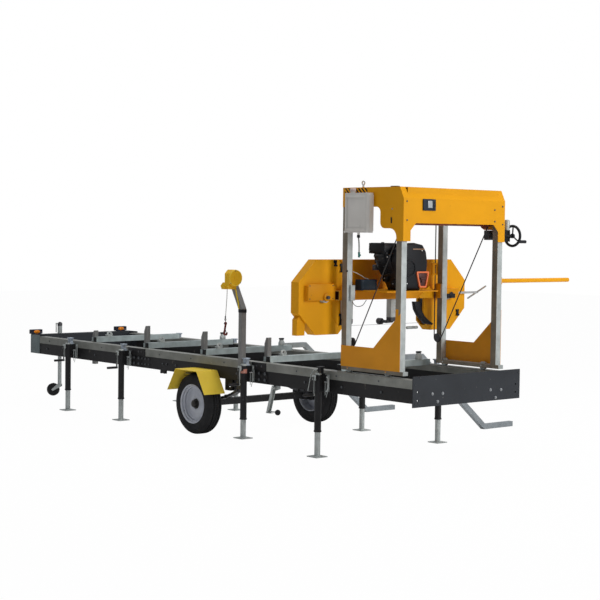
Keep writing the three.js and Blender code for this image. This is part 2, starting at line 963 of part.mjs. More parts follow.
function jockeyTube() {
  const station = -jockeyOffset;
  const at = (height) => [station, jockeyAcross, height];
  const tube = rod(jockeyTubeRadius, at(jockeyTubeBottom), at(jockeyTubeTop), roundSides);
  const collar = rod(
    jockeyCollarRadius,
    at(jockeyTubeBottom),
    at(jockeyTubeBottom + jockeyCollarHeight),
    roundSides,
  );
  const clampMiddle = (railBottom + railTop) / 2;
  const clamp = box(
    [station, -gap],
    [jockeyAcross - jockeyTubeRadius, jockeyAcross + jockeyTubeRadius],
    [clampMiddle - jockeyClampHeight / 2, clampMiddle + jockeyClampHeight / 2],
  );
  const crankTop = jockeyTubeTop - jockeyTubeWall;
  const turn = jockeyAcross - jockeyTubeRadius - jockeyCrankReach;
  const arm = rod(jockeyCrankRadius, [station, jockeyAcross, crankTop], [station, turn, crankTop]);
  const handle = rod(
    jockeyCrankRadius,
    [station, turn + jockeyCrankRadius, crankTop + jockeyCrankRadius],
    [station, turn + jockeyCrankRadius, crankTop - jockeyCrankDrop],
  );
  const bore = rod(
    jockeyTubeRadius - jockeyTubeWall,
    at(jockeyTubeBottom - overrun),
    at(jockeyTubeTop - jockeyCapDepth),
    roundSides,
  );
  return cut(join(tube, collar, clamp, arm, handle), bore);
}

// The fork and its wheel are turned about the leg by a share of a full turn.
function swivelled(geometry) {
  return geometry
    .translate(jockeyOffset, -jockeyAcross, 0)
    .rotateZ(2 * Math.PI * jockeySwivelShare)
    .translate(-jockeyOffset, jockeyAcross, 0);
}

// The leg ends in a fork that trails the wheel behind it.
function jockeyLeg() {
  const station = -jockeyOffset;
  const hub = [station - jockeyTrail, jockeyWheelBottom + jockeyWheelRadius];
  const crown = hub[1] + jockeyCrownRise;
  const inner = jockeyWheelWidth / 2 + 2 * gap;
  const outer = inner + jockeyForkWall;
  const leg = rod(
    jockeyLegRadius,
    [station, jockeyAcross, crown],
    [station, jockeyAcross, jockeyLegTop],
    roundSides,
  );
  const crownPlate = box(
    [station - jockeyLegRadius, station + jockeyLegRadius],
    [jockeyAcross - outer, jockeyAcross + outer],
    [crown, crown + jockeyForkWall],
  );
  const end = 2 * jockeyAxleRadius;
  const cheekOutline = [
    [station + jockeyLegRadius, crown - jockeyLegRadius],
    [station + jockeyLegRadius, crown + jockeyForkWall],
    [station - jockeyLegRadius, crown + jockeyForkWall],
    [hub[0] - end, hub[1]],
    [hub[0], hub[1] - end],
  ];
  const cheeks = [-outer, inner].map((start) => (
    prism(cheekOutline, 'y', [jockeyAcross + start, jockeyAcross + start + jockeyForkWall])
  ));
  const pin = rod(
    jockeyAxleRadius,
    [hub[0], jockeyAcross - outer, hub[1]],
    [hub[0], jockeyAcross + outer, hub[1]],
  );
  return swivelled(join(leg, crownPlate, ...cheeks, pin));
}

function jockeyWheel() {
  const half = jockeyWheelWidth / 2;
  const bore = jockeyAxleRadius + runningGap;
  const crown = jockeyWheelRadius;
  const profile = [
    [bore, -half],
    [crown - half / 2, -half],
    [crown, -half / 2],
    [crown, half / 2],
    [crown - half / 2, half],
    [bore, half],
  ];
  const centre = [-jockeyOffset - jockeyTrail, jockeyAcross, jockeyWheelBottom + jockeyWheelRadius];
  return swivelled(turned(profile, 'y', centre, roundSides));
}

// Davit, winch, rope and hook, all on the near side

function davitPath() {
  return [
    [davitStation, davitFoot],
    [davitStation, davitBend],
    [davitStation - davitLean, davitBend + davitRise],
  ];
}

function davitPost() {
  const centre = halfTrack + davitOffset;
  const tube = bentTube(davitPath(), davitSize, davitWall, 'y', centre);
  const sole = box(
    [davitStation - davitSize / 2, davitStation + davitSize / 2],
    [centre - davitSize / 2, centre + davitSize / 2],
    [davitFoot, davitFoot + 2 * davitWall],
  );
  const pin = rod(
    davitPinRadius,
    [davitStation, centre, davitFoot - davitPinLength],
    [davitStation, centre, davitFoot + weld],
    roundSides,
  );
  return join(tube, sole, pin);
}

function winch() {
  const face = halfTrack + davitOffset + davitSize / 2 + gap;
  const end = winchFarEnd + winchLength;
  const top = winchBottom + winchHeight;
  const side = face + winchWidth;
  const discBack = end - winchDiscDepth;
  const discCentre = [side + winchDiscLip - winchDiscRadius, top - winchDiscRadius];
  const drumCase = prism([
    [face, winchBottom],
    [side - winchRound, winchBottom],
    [side, winchBottom + winchRound],
    [side, top - winchRound],
    [side - winchRound, top],
    [face, top],
  ], 'x', [end - winchCaseDepth, discBack + weld]);
  const gearCase = prism([
    [winchFarEnd + winchRound / 2, winchBottom],
    [end - winchCaseDepth + weld, winchBottom],
    [end - winchCaseDepth + weld, winchBottom + winchGearRise],
    [winchFarEnd + winchRound, winchBottom + winchGearRise],
    [winchFarEnd, winchBottom + winchGearRise / 2],
  ], 'y', [face, side]);
  const disc = rod(winchDiscRadius, [discBack, ...discCentre], [end, ...discCentre], roundSides);
  const boss = rod(
    winchBossRadius,
    [end - weld, ...discCentre],
    [end + winchBossRadius / 2, ...discCentre],
    roundSides,
  );
  return join(drumCase, gearCase, disc, boss);
}

function ropePlace() {
  return {
    station: winchFarEnd + winchRound + ropeInset / 2,
    across: halfTrack + davitOffset + davitSize / 2 + gap + winchWidth / 2,
    top: winchBottom - gap,
  };
}

function winchRope() {
  const { station, across, top } = ropePlace();
  const route = ropeRouteShares.map(([drift, drop]) => [
    station - ropeDrift * drift,
    across,
    top - ropeLength * drop,
  ]);
  return tubeAlong(route, ropeRadius, rodSides, ropeSteps);
}

function winchHook() {
  const { station, across, top } = ropePlace();
  const hang = station - ropeDrift;
  const start = top - ropeLength - gap;
  const thickness = [across - hookThickness / 2, across + hookThickness / 2];
  const eyeCentre = [hang, start - hookEyeRadius];
  const eye = prism(arc(eyeCentre, hookEyeRadius, 0, 2 * Math.PI, rodSides).slice(0, rodSides), 'y', thickness);
  const eyeHole = rod(
    hookEyeRadius / 2,
    [eyeCentre[0], across - hookThickness, eyeCentre[1]],
    [eyeCentre[0], across + hookThickness, eyeCentre[1]],
  );
  const bowlCentre = [hang, start - hookHeight + hookBowlRadius];
  const radius = hookBowlRadius - hookThickness / 2;
  const path = [
    [hang, eyeCentre[1] - hookEyeRadius / 2],
    [hang, eyeCentre[1] - hookEyeRadius],
    ...arc(bowlCentre, radius, Math.PI * hookBackShare, Math.PI * hookTipShare, roundSides / 2),
  ];
  return cut(join(eye, prism(band(path, hookThickness), 'y', thickness)), eyeHole);
}

// Carriage side frames

function gussetOutline() {
  const bend = carriageBack + (carriageFront - carriageBack) * gussetBendShare;
  return [
    [carriageBack, baseTop - weld],
    [carriageFront, baseTop - weld],
    [carriageFront, gussetHigh],
    [bend, gussetLow],
    [carriageBack, gussetLow],
  ];
}

function frameHollows() {
  const inner = [postInner + postWall, frameFace - postWall];
  const starts = [carriageBack, carriageFront - postSize];
  const posts = starts.map((start) => box(
    [start + postWall, start + postSize - postWall],
    inner,
    [baseTop - weld, frameTop - postWall],
  ));
  const beam = box(
    [carriageBack - overrun, carriageFront + overrun],
    inner,
    [frameTop - postSize + postWall, frameTop - postWall],
  );
  const base = box(
    [carriageBack + baseWall, carriageFront + baseFrontReach - baseWall],
    [postInner + baseWall, frameFace - baseWall],
    [baseTop - baseDrop - overrun, baseTop - baseWall],
  );
  return [...posts, beam, base];
}

function trackRoller(station) {
  const radius = rollerCentre - railTop - gap;
  const roller = rod(
    radius,
    [station, postMiddle - rollerWidth / 2, rollerCentre],
    [station, postMiddle + rollerWidth / 2, rollerCentre],
    roundSides,
  );
  const pin = rod(
    rollerAxleRadius,
    [station, postInner - weld, rollerCentre],
    [station, frameFace + weld, rollerCentre],
  );
  return [roller, pin];
}

function cablePulley() {
  const wheel = rod(
    pulleyRadius,
    [pulleyStation, cablePlane - pulleyWidth / 2, pulleyHeight],
    [pulleyStation, cablePlane + pulleyWidth / 2, pulleyHeight],
    roundSides,
  );
  const pin = rod(
    rollerAxleRadius,
    [pulleyStation, cablePlane, pulleyHeight],
    [pulleyStation, postInner + postWall / 2, pulleyHeight],
  );
  return [wheel, pin];
}

// The middle line of the hood's bent sheet, from the back over the top and down its front.
function hoodPath() {
  const half = hoodWall / 2;
  return [
    [carriageBack, hoodTop - half],
    [hoodFront - hoodShoulderInset, hoodTop - half],
    [hoodFront - half, hoodShoulder],
    [hoodFront - half, hoodFaceBottom],
  ];
}

// The frame's front corner is cut off where the hood slopes down.
function hoodSlopeCut() {
  const [, high, low] = offsetPath(hoodPath(), -hoodWall / 2 - gap);
  const past = hoodFront + overrun;
  const above = hoodTop + overrun;
  const outline = [high, low, [past, low[1]], [past, above], [high[0], above]];
  return prism(outline, 'y', [postInner - overrun, frameFace + overrun]);
}

function sideFrame() {
  const across = [postInner, frameFace];
  const starts = [carriageBack, carriageFront - postSize];
  const posts = starts.map((start) => box([start, start + postSize], across, [baseTop - baseWall, frameTop]));
  const beam = box([carriageBack, carriageFront], across, [frameTop - postSize, frameTop]);
  const base = box([carriageBack, carriageFront + baseFrontReach], across, [baseTop - baseDrop, baseTop]);
  const gusset = prism(gussetOutline(), 'y', [frameFace - weld / 2, frameFace + gussetWall]);
  const shell = cut(join(...posts, beam, base), ...frameHollows(), hoodSlopeCut());
  const rollers = [carriageBack + backRollerInset, carriageFront - frontRollerInset].flatMap(trackRoller);
  return join(shell, gusset, ...rollers, ...cablePulley());
}

// The cable leaves the drum, passes under the lower pulley and rises to the top beam.
function liftCable() {
  const reach = pulleyRadius + cableRadius + gap;
  const along = drumStation - pulleyStation;
  const up = drumHeight - pulleyHeight;
  const length = Math.hypot(along, up);
  const side = [up / length, -along / length];
  const start = [drumStation + side[0] * reach, drumHeight + side[1] * reach];
  const wrapStart = Math.atan2(side[1], side[0]);
  const wrap = arc([pulleyStation, pulleyHeight], reach, wrapStart, -Math.PI, roundSides / 2);
  const top = [pulleyStation - reach, frameTop - postSize - gap];
  const at = ([x, z]) => [x, cablePlane, z];
  const runs = [[start, wrap[0]], [wrap[wrap.length - 1], top]].map(([from, to]) => (
    rod(cableRadius, at(from), at(to))
  ));
  const bend = tubeAlong(lengthened(wrap, weld).map(at), cableRadius, rodSides, roundSides);
  return join(...runs, bend);
}

// Hood over the top of the carriage, with its cross beams and the lift drum shaft

function hoodSideOutline() {
  const shoulder = hoodFront - hoodShoulderInset;
  const legBack = carriageFront - postSize;
  const stepBack = legBack - hoodStepReach;
  const corners = [
    [legBack, hoodLegBottom],
    [legBack, hoodStepHeight],
    [stepBack, hoodStepHeight],
    [stepBack, hoodSideLow],
    [carriageBack, hoodSideLow],
  ];
  const edge = [hoodLegFillet, hoodStepFillet, hoodTopFillet].flatMap((radius, i) => (
    filleted(corners[i], corners[i + 1], corners[i + 2], radius)
  ));
  return [
    [carriageBack, hoodSideLow],
    [carriageBack, hoodTop],
    [shoulder, hoodTop],
    [hoodFront, hoodShoulder],
    [hoodFront, hoodLegBottom],
    [legBack, hoodLegBottom],
    ...edge,
  ];
}

function hoodSkin() {
  const outer = frameFace + gap + hoodWall;
  const sheet = prism(band(hoodPath(), hoodWall), 'y', [-outer, outer]);
  const leg = prism([
    [outer, hoodLegBottom],
    [outer, hoodFaceBottom + weld],
    [outer - hoodLegWidth - hoodLegFlare, hoodFaceBottom + weld],
    [outer - hoodLegWidth - hoodLegFlare, hoodFaceBottom],
    [outer - hoodLegWidth, hoodFaceBottom - hoodLegFlare],
    [outer - hoodLegWidth, hoodLegBottom],
  ], 'x', [hoodFront - hoodWall, hoodFront]);
  return join(sheet, leg, mirrored(leg));
}

function liftDrum() {
  const drum = rod(
    pulleyRadius,
    [drumStation, cablePlane - drumWidth / 2, drumHeight],
    [drumStation, cablePlane + drumWidth / 2, drumHeight],
    roundSides,
  );
  const shaft = rod(
    drumShaftRadius,
    [drumStation, -frameFace - gap - hoodWall / 2, drumHeight],
    [drumStation, frameFace + gap + hoodWall / 2, drumHeight],
  );
  return join(shaft, drum, mirrored(drum));
}

function liftingEye() {
  const bottom = hoodTop - hoodWall / 2;
  const centre = bottom + 2 * eyeRadius;
  const halfThickness = eyeThickness / 2;
  const ring = rod(
    eyeRadius,
    [eyeStation, postMiddle - halfThickness, centre],
    [eyeStation, postMiddle + halfThickness, centre],
    rodSides,
  );
  const stem = box(
    [eyeStation - eyeThickness, eyeStation + eyeThickness],
    [postMiddle - halfThickness, postMiddle + halfThickness],
    [bottom, centre],
  );
  const hole = rod(
    eyeRadius - eyeThickness,
    [eyeStation, postMiddle - eyeThickness, centre],
    [eyeStation, postMiddle + eyeThickness, centre],
    rodSides,
  );
  return cut(join(ring, stem), hole);
}

function handwheelBoss() {
  const face = frameFace + gap + hoodWall;
  const at = (across) => [handwheelStation, across, handwheelHeight];
  const boss = rod(handwheelBossRadius, at(face - weld), at(face + handwheelBossLength), roundSides);
  return cut(boss, rod(handwheelShaftRadius + runningGap, at(face), at(face + 2 * handwheelBossLength), roundSides));
}

function topHood() {
  const plate = prism(hoodSideOutline(), 'y', [frameFace + gap, frameFace + gap + hoodWall]);
  const starts = [carriageBack, carriageFront - postSize];
  const beams = starts.map((start) => box(
    [start, start + postSize],
    [-postInner + gap, postInner - gap],
    [frameTop - postSize, hoodTop - hoodWall / 2],
  ));
  const bores = starts.map((start) => box(
    [start + postWall, start + postSize - postWall],
    [-postInner, postInner],
    [frameTop - postSize + postWall, frameTop - postWall],
  ));
  const frame = cut(join(hoodSkin(), ...beams), ...bores);
  return join(frame, plate, mirrored(plate), liftDrum(), mirrored(liftingEye()), handwheelBoss());
}

// What hangs on the carriage

function waterTank() {
  const back = frameFace + 2 * gap + hoodWall;
  const face = back + tankDepth;
  const end = tankStation + tankLength;
  const bottom = tankTop - tankHeight;
  const corner = tankRound;
  const outline = [
    [tankStation + corner, back],
    [end - corner, back],
    [end, back + corner],
    [end, face - corner],
    [end - corner, face],
    [tankStation + corner, face],
    [tankStation, face - corner],
    [tankStation, back + corner],
  ];
  const body = prism(outline, 'z', [bottom, tankTop]);
  const middle = (back + face) / 2;
  const capStation = tankStation + tankLength / 4;
  const cap = rod(
    tankCapRadius,
    [capStation, middle, tankTop - weld],
    [capStation, middle, tankTop + tankCapHeight],
    roundSides,
  );
  const outletStation = tankStation + tankLength / 2;
  const outlet = rod(
    outletRadius,
    [outletStation, middle, bottom - outletLength],
    [outletStation, middle, bottom + weld],
  );
  return join(body, cap, outlet);
}

function waterHose() {
  const across = frameFace + 2 * gap + hoodWall + tankDepth / 2;
  const station = tankStation + tankLength / 2;
  const top = tankTop - tankHeight - outletLength - gap;
  const route = hoseRouteShares.map(([drift, drop]) => [
    station + hoseDrift * drift,
    across,
    top - hoseLength * drop,
  ]);
  const hose = tubeAlong(route, hoseRadius, rodSides, hoseSteps);
  const tapTop = top - hoseLength + weld;
  const tapStation = station + hoseDrift;
  const tap = rod(tapRadius, [tapStation, across, tapTop - tapLength], [tapStation, across, tapTop]);
  const lever = box(
    [tapStation - tapRadius / 2, tapStation + tapRadius / 2],
    [across, across + 2 * tapRadius],
    [tapTop - tapLength / 2 - tapLeverWidth / 2, tapTop - tapLength / 2 + tapLeverWidth / 2],
  );
  return join(hose, tap, lever);
}

function handwheel() {
  const plane = frameFace + handwheelOffset;
  const seat = frameFace + gap + hoodWall + gap;
  const at = (across) => [handwheelStation, across, handwheelHeight];
  const shaft = rod(handwheelShaftRadius, at(seat), at(plane), roundSides);
  const hub = rod(handwheelHubRadius, at(plane - handwheelRim), at(plane + handwheelRim), roundSides);
  const ringRadius = handwheelRadius - handwheelRim;
  const rimProfile = arc([ringRadius, 0], handwheelRim, 0, 2 * Math.PI, rodSides).slice(0, rodSides);
  const rim = turned(rimProfile, 'y', at(plane), wheelSides);
  const spokes = Array.from({ length: handwheelSpokes }, (_, i) => {
    const angle = knobAngle + (2 * Math.PI * i) / handwheelSpokes;
    return rod(handwheelSpokeRadius, at(plane), [
      handwheelStation + ringRadius * Math.cos(angle),
      plane,
      handwheelHeight + ringRadius * Math.sin(angle),
    ]);
  });
  const knobAt = (across) => [
    handwheelStation + ringRadius * Math.cos(knobAngle),
    across,
    handwheelHeight + ringRadius * Math.sin(knobAngle),
  ];
  const knob = rod(knobRadius, knobAt(plane), knobAt(plane + knobLength), roundSides);
  return join(shaft, hub, rim, ...spokes, knob);
}

function pushBar() {
  const face = frameFace + gap;
  const station = carriageFront - postSize / 2;
  const half = pushBarFlange / 2;
  const flange = box(
    [station - half, station + half],
    [face, face + pushBarFlangeWall],
    [pushBarHeight - half, pushBarHeight + half],
  );
  const bar = rod(
    pushBarRadius,
    [station, face + pushBarFlangeWall - weld, pushBarHeight],
    [station, face + pushBarReach, pushBarHeight],
    roundSides,
  );
  return join(flange, bar);
}

// Saw head

function guardCorner() {
  return (guardOuter - guardInner) * guardCornerShare;
}

function guardInnerCorner() {
  return (guardOuter - guardInner) * guardInnerCornerShare;
}

function guardOutline() {
  const outer = guardCorner();
  const inner = guardInnerCorner();
  return [
    [guardInner + inner, guardBottom],
    [guardOuter - outer, guardBottom],
    [guardOuter, guardBottom + outer],
    [guardOuter, guardTop - outer],
    [guardOuter - outer, guardTop],
    [guardInner + inner, guardTop],
    [guardInner, guardTop - inner],
    [guardInner, guardBottom + inner],
  ];
}

function guardHollows() {
  const outline = guardOutline();
  const inside = prism(offsetPath(outline, guardWall, true), 'x', [guardBack + guardWall, guardFront - guardWall]);
  const mouth = box(
    [guardBack + guardMouthMargin, guardFront - guardMouthMargin],
    [guardInner - overrun, guardInner + guardInnerCorner()],
    [bandWheelHeight - bandWheelRadius - guardMouthMargin, bandWheelHeight + bandWheelRadius + guardMouthMargin],
  );
  const shaftHole = rod(
    bearingRadius + guardWall,
    [guardFront - overrun, bandWheelAcross, bandWheelHeight],
    [guardFront + overrun, bandWheelAcross, bandWheelHeight],
    roundSides,
  );
  return [inside, mouth, shaftHole];
}

function bandGuard() {
  return cut(prism(guardOutline(), 'x', [guardBack, guardFront]), ...guardHollows());
}

// The sawdust chute hangs under the slanted outer corner of the near guard, reaching into it by a depth.
function chuteOutline(depth) {
  const corner = guardCorner();
  const lean = (corner - chuteRise) / 2 + depth;
  return [
    [guardOuter - chuteReach, guardBottom],
    [guardOuter, guardBottom],
    [guardOuter, guardBottom + chuteRise],
    [guardOuter - lean, guardBottom + chuteRise + lean],
    [guardOuter - chuteReach - depth, guardBottom + corner - chuteReach + depth],
  ];
}

function guardWithChute() {
  const depth = [guardBack + chuteInset, guardFront - chuteInset];
  const bores = [depth[0] + guardWall, depth[1] - guardWall];
  const shell = prism(guardOutline(), 'x', [guardBack, guardFront]);
  const chute = prism(chuteOutline(weld), 'x', depth);
  const bore = prism(offsetPath(chuteOutline(chuteBoreDepth), guardWall, true), 'x', bores);
  const outlet = box(
    bores,
    [guardOuter - chuteReach + 2 * guardWall, guardOuter - guardWall],
    [guardBottom - overrun, guardBottom + overrun],
  );
  return cut(join(shell, chute), ...guardHollows(), bore, outlet);
}

function bandWheel() {
  const half = bandWheelWidth / 2;
  const web = bandWheelWeb / 2;
  // The flats of the faceted blade stand nearer the shaft than its corners.
  const crown = (bandWheelRadius + gap) * Math.cos(Math.PI / bladeSteps) - bladePlay;
  const rimInner = bandWheelRadius - bandWheelRim;
  const shaftEnd = beamFront - bandPlane;
  const profile = [
    [0, -half],
    [bandWheelHub, -half],
    [bandWheelHub, -web],
    [rimInner, -web],
    [rimInner, -half],
    [crown, -half],
    [crown, half],
    [rimInner, half],
    [rimInner, web],
    [bandWheelHub, web],
    [bandWheelHub, half],
    [bandShaftRadius, half],
    [bandShaftRadius, shaftEnd],
    [0, shaftEnd],
  ];
  return turned(profile, 'x', [bandPlane, bandWheelAcross, bandWheelHeight], bladeSteps);
}

// The two loops are one blade thickness apart all the way round.
function bladeLoop(radius) {
  const far = arc([bandWheelAcross, bandWheelHeight], radius, -Math.PI / 2, Math.PI / 2, bladeSteps / 2);
  const near = arc([-bandWheelAcross, bandWheelHeight], radius, Math.PI / 2, (3 * Math.PI) / 2, bladeSteps / 2);
  return [...far, ...near];
}

function sawBlade() {
  const half = bladeWidth / 2;
  const inner = bandWheelRadius + gap;
  const outer = prism(bladeLoop(inner + bladeWall), 'x', [bandPlane - half, bandPlane + half]);
  const hollow = prism(bladeLoop(inner), 'x', [bandPlane - half - overrun, bandPlane + half + overrun]);
  return cut(outer, hollow);
}

function guideShoe() {
  const clearance = 2 * gap;
  const block = box(
    [beamFront - weld, carriageBack + postSize + shoeFace],
    [postInner - shoeFace, frameFace - weld],
    [beamBottom, beamBottom + shoeHeight],
  );
  const slot = box(
    [carriageBack - clearance, carriageBack + postSize + clearance],
    [postInner - clearance, frameFace + overrun],
    [beamBottom - overrun, beamBottom + shoeHeight + overrun],
  );
  const relief = box(
    [carriageBack + postSize + clearance - weld, carriageBack + postSize + shoeFace + overrun],
    [postMiddle, frameFace + overrun],
    [beamBottom - overrun, beamBottom + shoeHeight + overrun],
  );
  return cut(block, slot, relief);
}

function bearingHousing() {
  return rod(
    bearingRadius,
    [guardFront - guardWall, bandWheelAcross, bandWheelHeight],
    [beamBack + bearingBoxDepth, bandWheelAcross, bandWheelHeight],
    roundSides,
  );
}

function crossBeam() {
  return box([beamBack, beamFront], [beamNearEnd, beamFarEnd], [beamBottom, beamTop]);
}

// The near band wheel turns in a box at the end of the beam, the far one in the beam itself.
function nearBearingBox() {
  const middle = beamCentre + (bearingBoxHeight - beamSize) / 2;
  return box(
    [beamBack, beamBack + bearingBoxDepth],
    [-bandWheelAcross - bearingBoxReach, beamNearEnd + weld],
    [middle - bearingBoxHeight / 2, middle + bearingBoxHeight / 2],
  );
}

function bandWheelBores(side, front) {
  return rod(
    bandShaftRadius + runningGap,
    [guardFront - overrun, side * bandWheelAcross, bandWheelHeight],
    [front, side * bandWheelAcross, bandWheelHeight],
    roundSides,
  );
}

// The beam is hollow all along, so the far bearing is held in its two side walls.
function crossBeamBores() {
  const bore = box(
    [beamBack + beamWall, beamFront - beamWall],
    [beamNearEnd - overrun, beamFarEnd - screwEndWall],
    [beamBottom + beamWall, beamTop - beamWall],
  );
  const screwHole = rod(
    screwRadius + runningGap,
    [(beamBack + beamFront) / 2, beamFarEnd - 2 * screwEndWall, beamCentre],
    [(beamBack + beamFront) / 2, beamFarEnd + overrun, beamCentre],
    roundSides,
  );
  return [
    bore,
    screwHole,
    bandWheelBores(-1, beamBack + bearingBoxDepth + overrun),
    bandWheelBores(1, beamFront + overrun),
  ];
}

function bandCover() {
  const inner = guardInnerCorner();
  const side = guardInner - 2 * gap;
  const low = guardTop - bandCoverHeight;
  const outline = [
    [-side, low],
    [side, low],
    [side, guardTop - inner],
    [side + inner, guardTop],
    [-side - inner, guardTop],
    [-side, guardTop - inner],
  ];
  const body = prism(outline, 'x', [guardBack, beamBack + coverWall]);
  const hollow = box(
    [guardBack + guardWall, guardFront - guardWall],
    [-guardOuter, guardOuter],
    [low - overrun, guardTop - guardWall],
  );
  return cut(body, hollow);
}

// A roller that rides on the back of the blade, held by a bar from a post under the beam.
function bladeGuide(armPlace, rollerPlace) {
  const half = guideArmWidth / 2;
  const centre = bandWheelHeight - bandWheelRadius + guideRollerRadius + gap;
  const holder = beamBack + guideArmDepth / 2;
  const arm = box(
    [beamBack, beamBack + guideArmDepth],
    [armPlace - half, armPlace + half],
    [centre, beamBottom + weld],
  );
  const roller = rod(
    guideRollerRadius,
    [bandPlane - guideRollerLength / 2, rollerPlace, centre],
    [bandPlane + guideRollerLength / 2, rollerPlace, centre],
    roundSides,
  );
  const pin = rod(guideRollerRadius / 2, [bandPlane, rollerPlace, centre], [holder + weld, rollerPlace, centre]);
  const bar = rod(guideRollerRadius / 2, [holder, rollerPlace, centre], [holder, armPlace, centre + weld]);
  return join(arm, roller, pin, bar);
}

function headFrame() {
  const shoe = guideShoe();
  const housing = bearingHousing();
  const engineBase = box(
    [beamBack, engineBaseFront],
    [engineBaseNear, engineBaseFar],
    [beamTop - weld, beamTop + engineBaseWall],
  );
  const guides = guideArmPlaces.map((place, i) => bladeGuide(place, guideRollerPlaces[i]));
  const body = join(
    crossBeam(),
    nearBearingBox(),
    shoe,
    mirrored(shoe),
    housing,
    mirrored(housing),
    engineBase,
    bandCover(),
    ...guides,
  );
  return cut(body, ...crossBeamBores());
}

function tensionScrew() {
  const station = (beamBack + beamFront) / 2;
  const end = beamFarEnd + screwLength;
  const along = (screwBarLength / 2) * Math.sqrt(1 - screwBarRiseShare ** 2);
  const rise = (screwBarLength / 2) * screwBarRiseShare;
  const screw = rod(
    screwRadius,
    [station, beamFarEnd - screwBuried, beamCentre],
    [station, end, beamCentre],
    roundSides,
  );
  const bar = rod(
    screwBarRadius,
    [station - along, end - screwRadius, beamCentre - rise],
    [station + along, end - screwRadius, beamCentre + rise],
  );
  return join(screw, bar);
}

// Engine with its fan shroud, two cylinders, air filter box and silencer

function engine() {
  const end = engineBack + engineLength;
  const near = engineAcross - engineWidth / 2;
  const far = engineAcross + engineWidth / 2;
  const caseTop = engineFloor + crankcaseHeight;
  const crankcase = prism([
    [near + crankcaseFoot, engineFloor],
    [far - weld, engineFloor],
    [far - weld, caseTop],
    [near + crankcaseShoulder, caseTop],
  ], 'x', [engineBack + shroudDepth, end - shroudDepth]);
  const mountPad = box([engineBack, end], [near / 2 + far / 2 - cylinderRadius, far - cylinderRadius], [
    engineFloor,
    engineFloor + shroudDepth / 2,
  ]);
  const cylinders = [-1, 1].map((side) => rod(
    cylinderRadius,
    [(engineBack + end) / 2 + side * weld, engineAcross, engineFloor + crankcaseHeight / 2],
    [
      (engineBack + end) / 2 + side * weld,
      engineAcross + side * cylinderLength * cylinderLeanShare,
      engineFloor + crankcaseHeight / 2 + cylinderLength,
    ],
    roundSides,
  ));
  const shroudHeight = engineFloor + shroudRise;
  const shroud = rod(
    shroudRadius,
    [end - shroudDepth - weld, engineAcross, shroudHeight],
    [end, engineAcross, shroudHeight],
    roundSides,
  );
  const airTop = engineFloor + engineHeight;
  const airBox = box(
    [engineBack + shroudDepth, engineBack + shroudDepth + airBoxLength],
    [near, near + airBoxWidth],
    [airTop - airBoxHeight, airTop],
  );
  const intake = rod(
    cylinderRadius / 2,
    [engineBack + engineLength / 2, near + airBoxWidth / 2, caseTop - weld],
    [engineBack + engineLength / 2, near + airBoxWidth / 2, airTop - airBoxHeight + weld],
  );
  const silencerHeight = engineFloor + silencerRise;
  const silencer = rod(
    silencerRadius,
    [engineBack + silencerRadius, engineAcross - silencerLength / 2, silencerHeight],
    [engineBack + silencerRadius, engineAcross + silencerLength / 2, silencerHeight],
    roundSides,
  );
  return join(crankcase, mountPad, ...cylinders, shroud, airBox, intake, silencer);
}

// Everything in its place

function addTwins(name, shape, finish) {
  [-1, 1].forEach((side) => {
    addPiece(`${side < 0 ? 'near' : 'far'}_${name}`, onSide(side, shape), finish);
  });
}

function bunkStation(index) {
  return firstBunkStation + index * bunkPitch;
}

function addTrack() {
  const farRail = rail();
  addPiece('near_rail', join(mirrored(farRail), mirrored(davitSocket())), finishes.black);
  addPiece('far_rail', farRail, finishes.black);
  addPiece('near_end_plate', endPlate(), finishes.charcoal);
  addPiece('far_end_frame', farEndFrame(), finishes.galvanised);
  for (let i = 0; i < bunkCount; i += 1) {
    const hasStop = i < bunkCount - 1;
    const station = bunkStation(i);
    const shape = hasStop ? join(bunk(station), stopSleeve(station)) : bunk(station);
    addPiece(`bunk_${i + 1}`, shape, finishes.galvanised);
    if (hasStop) {
      const bottom = i === 0 ? stopBottom - firstStopDrop : stopBottom;
      addPiece(`log_stop_${i + 1}`, logStop(station, bottom), finishes.grey);
    }
  }
  rampStationShares.forEach((share, i) => {
    addPiece(`log_ramp_${i + 1}`, logRamp(share * trackLength), finishes.galvanised);
  });
}

function addJacks() {
  jackStationShares.forEach((share, i) => {
    const station = share * trackLength;
    const tube = jackTube(station);
    [-1, 1].forEach((side) => {
      const name = `${side < 0 ? 'near' : 'far'}_jack`;
      const lift = side < 0 && i === raisedLegIndex ? raisedLegLift : 0;
      addPiece(`${name}_tube_${i + 1}`, onSide(side, tube), finishes.black);
      addPiece(`${name}_leg_${i + 1}`, onSide(side, jackLeg(station, lift)), finishes.galvanised);
    });
  });
}

function addTrailerGear() {
  addPiece('axle', axle(), finishes.black);
  addTwins('road_wheel', roadWheel(), finishes.rubber);
  addTwins('fender', fender(), finishes.yellow);
  addPiece('jockey_tube', jockeyTube(), finishes.galvanised);
  addPiece('jockey_leg', jockeyLeg(), finishes.galvanised);
  addPiece('jockey_wheel', jockeyWheel(), finishes.rubber);
}

function addDavit() {
  addPiece('davit_post', mirrored(davitPost()), finishes.charcoal);
  addPiece('davit_winch', mirrored(winch()), finishes.yellow);
  addPiece('winch_rope', mirrored(winchRope()), finishes.steel);
  addPiece('winch_hook', mirrored(winchHook()), finishes.red);
}

function addCarriage() {
  addTwins('side_frame', sideFrame(), finishes.galvanised);
  addTwins('lift_cable', liftCable(), finishes.steel);
  addPiece('top_hood', topHood(), finishes.yellow);
  addPiece('water_tank', mirrored(waterTank()), finishes.grey);
  addPiece('water_hose', mirrored(waterHose()), finishes.black);
  addPiece('lift_handwheel', handwheel(), finishes.black);
  addPiece('push_bar', pushBar(), finishes.yellow);
}

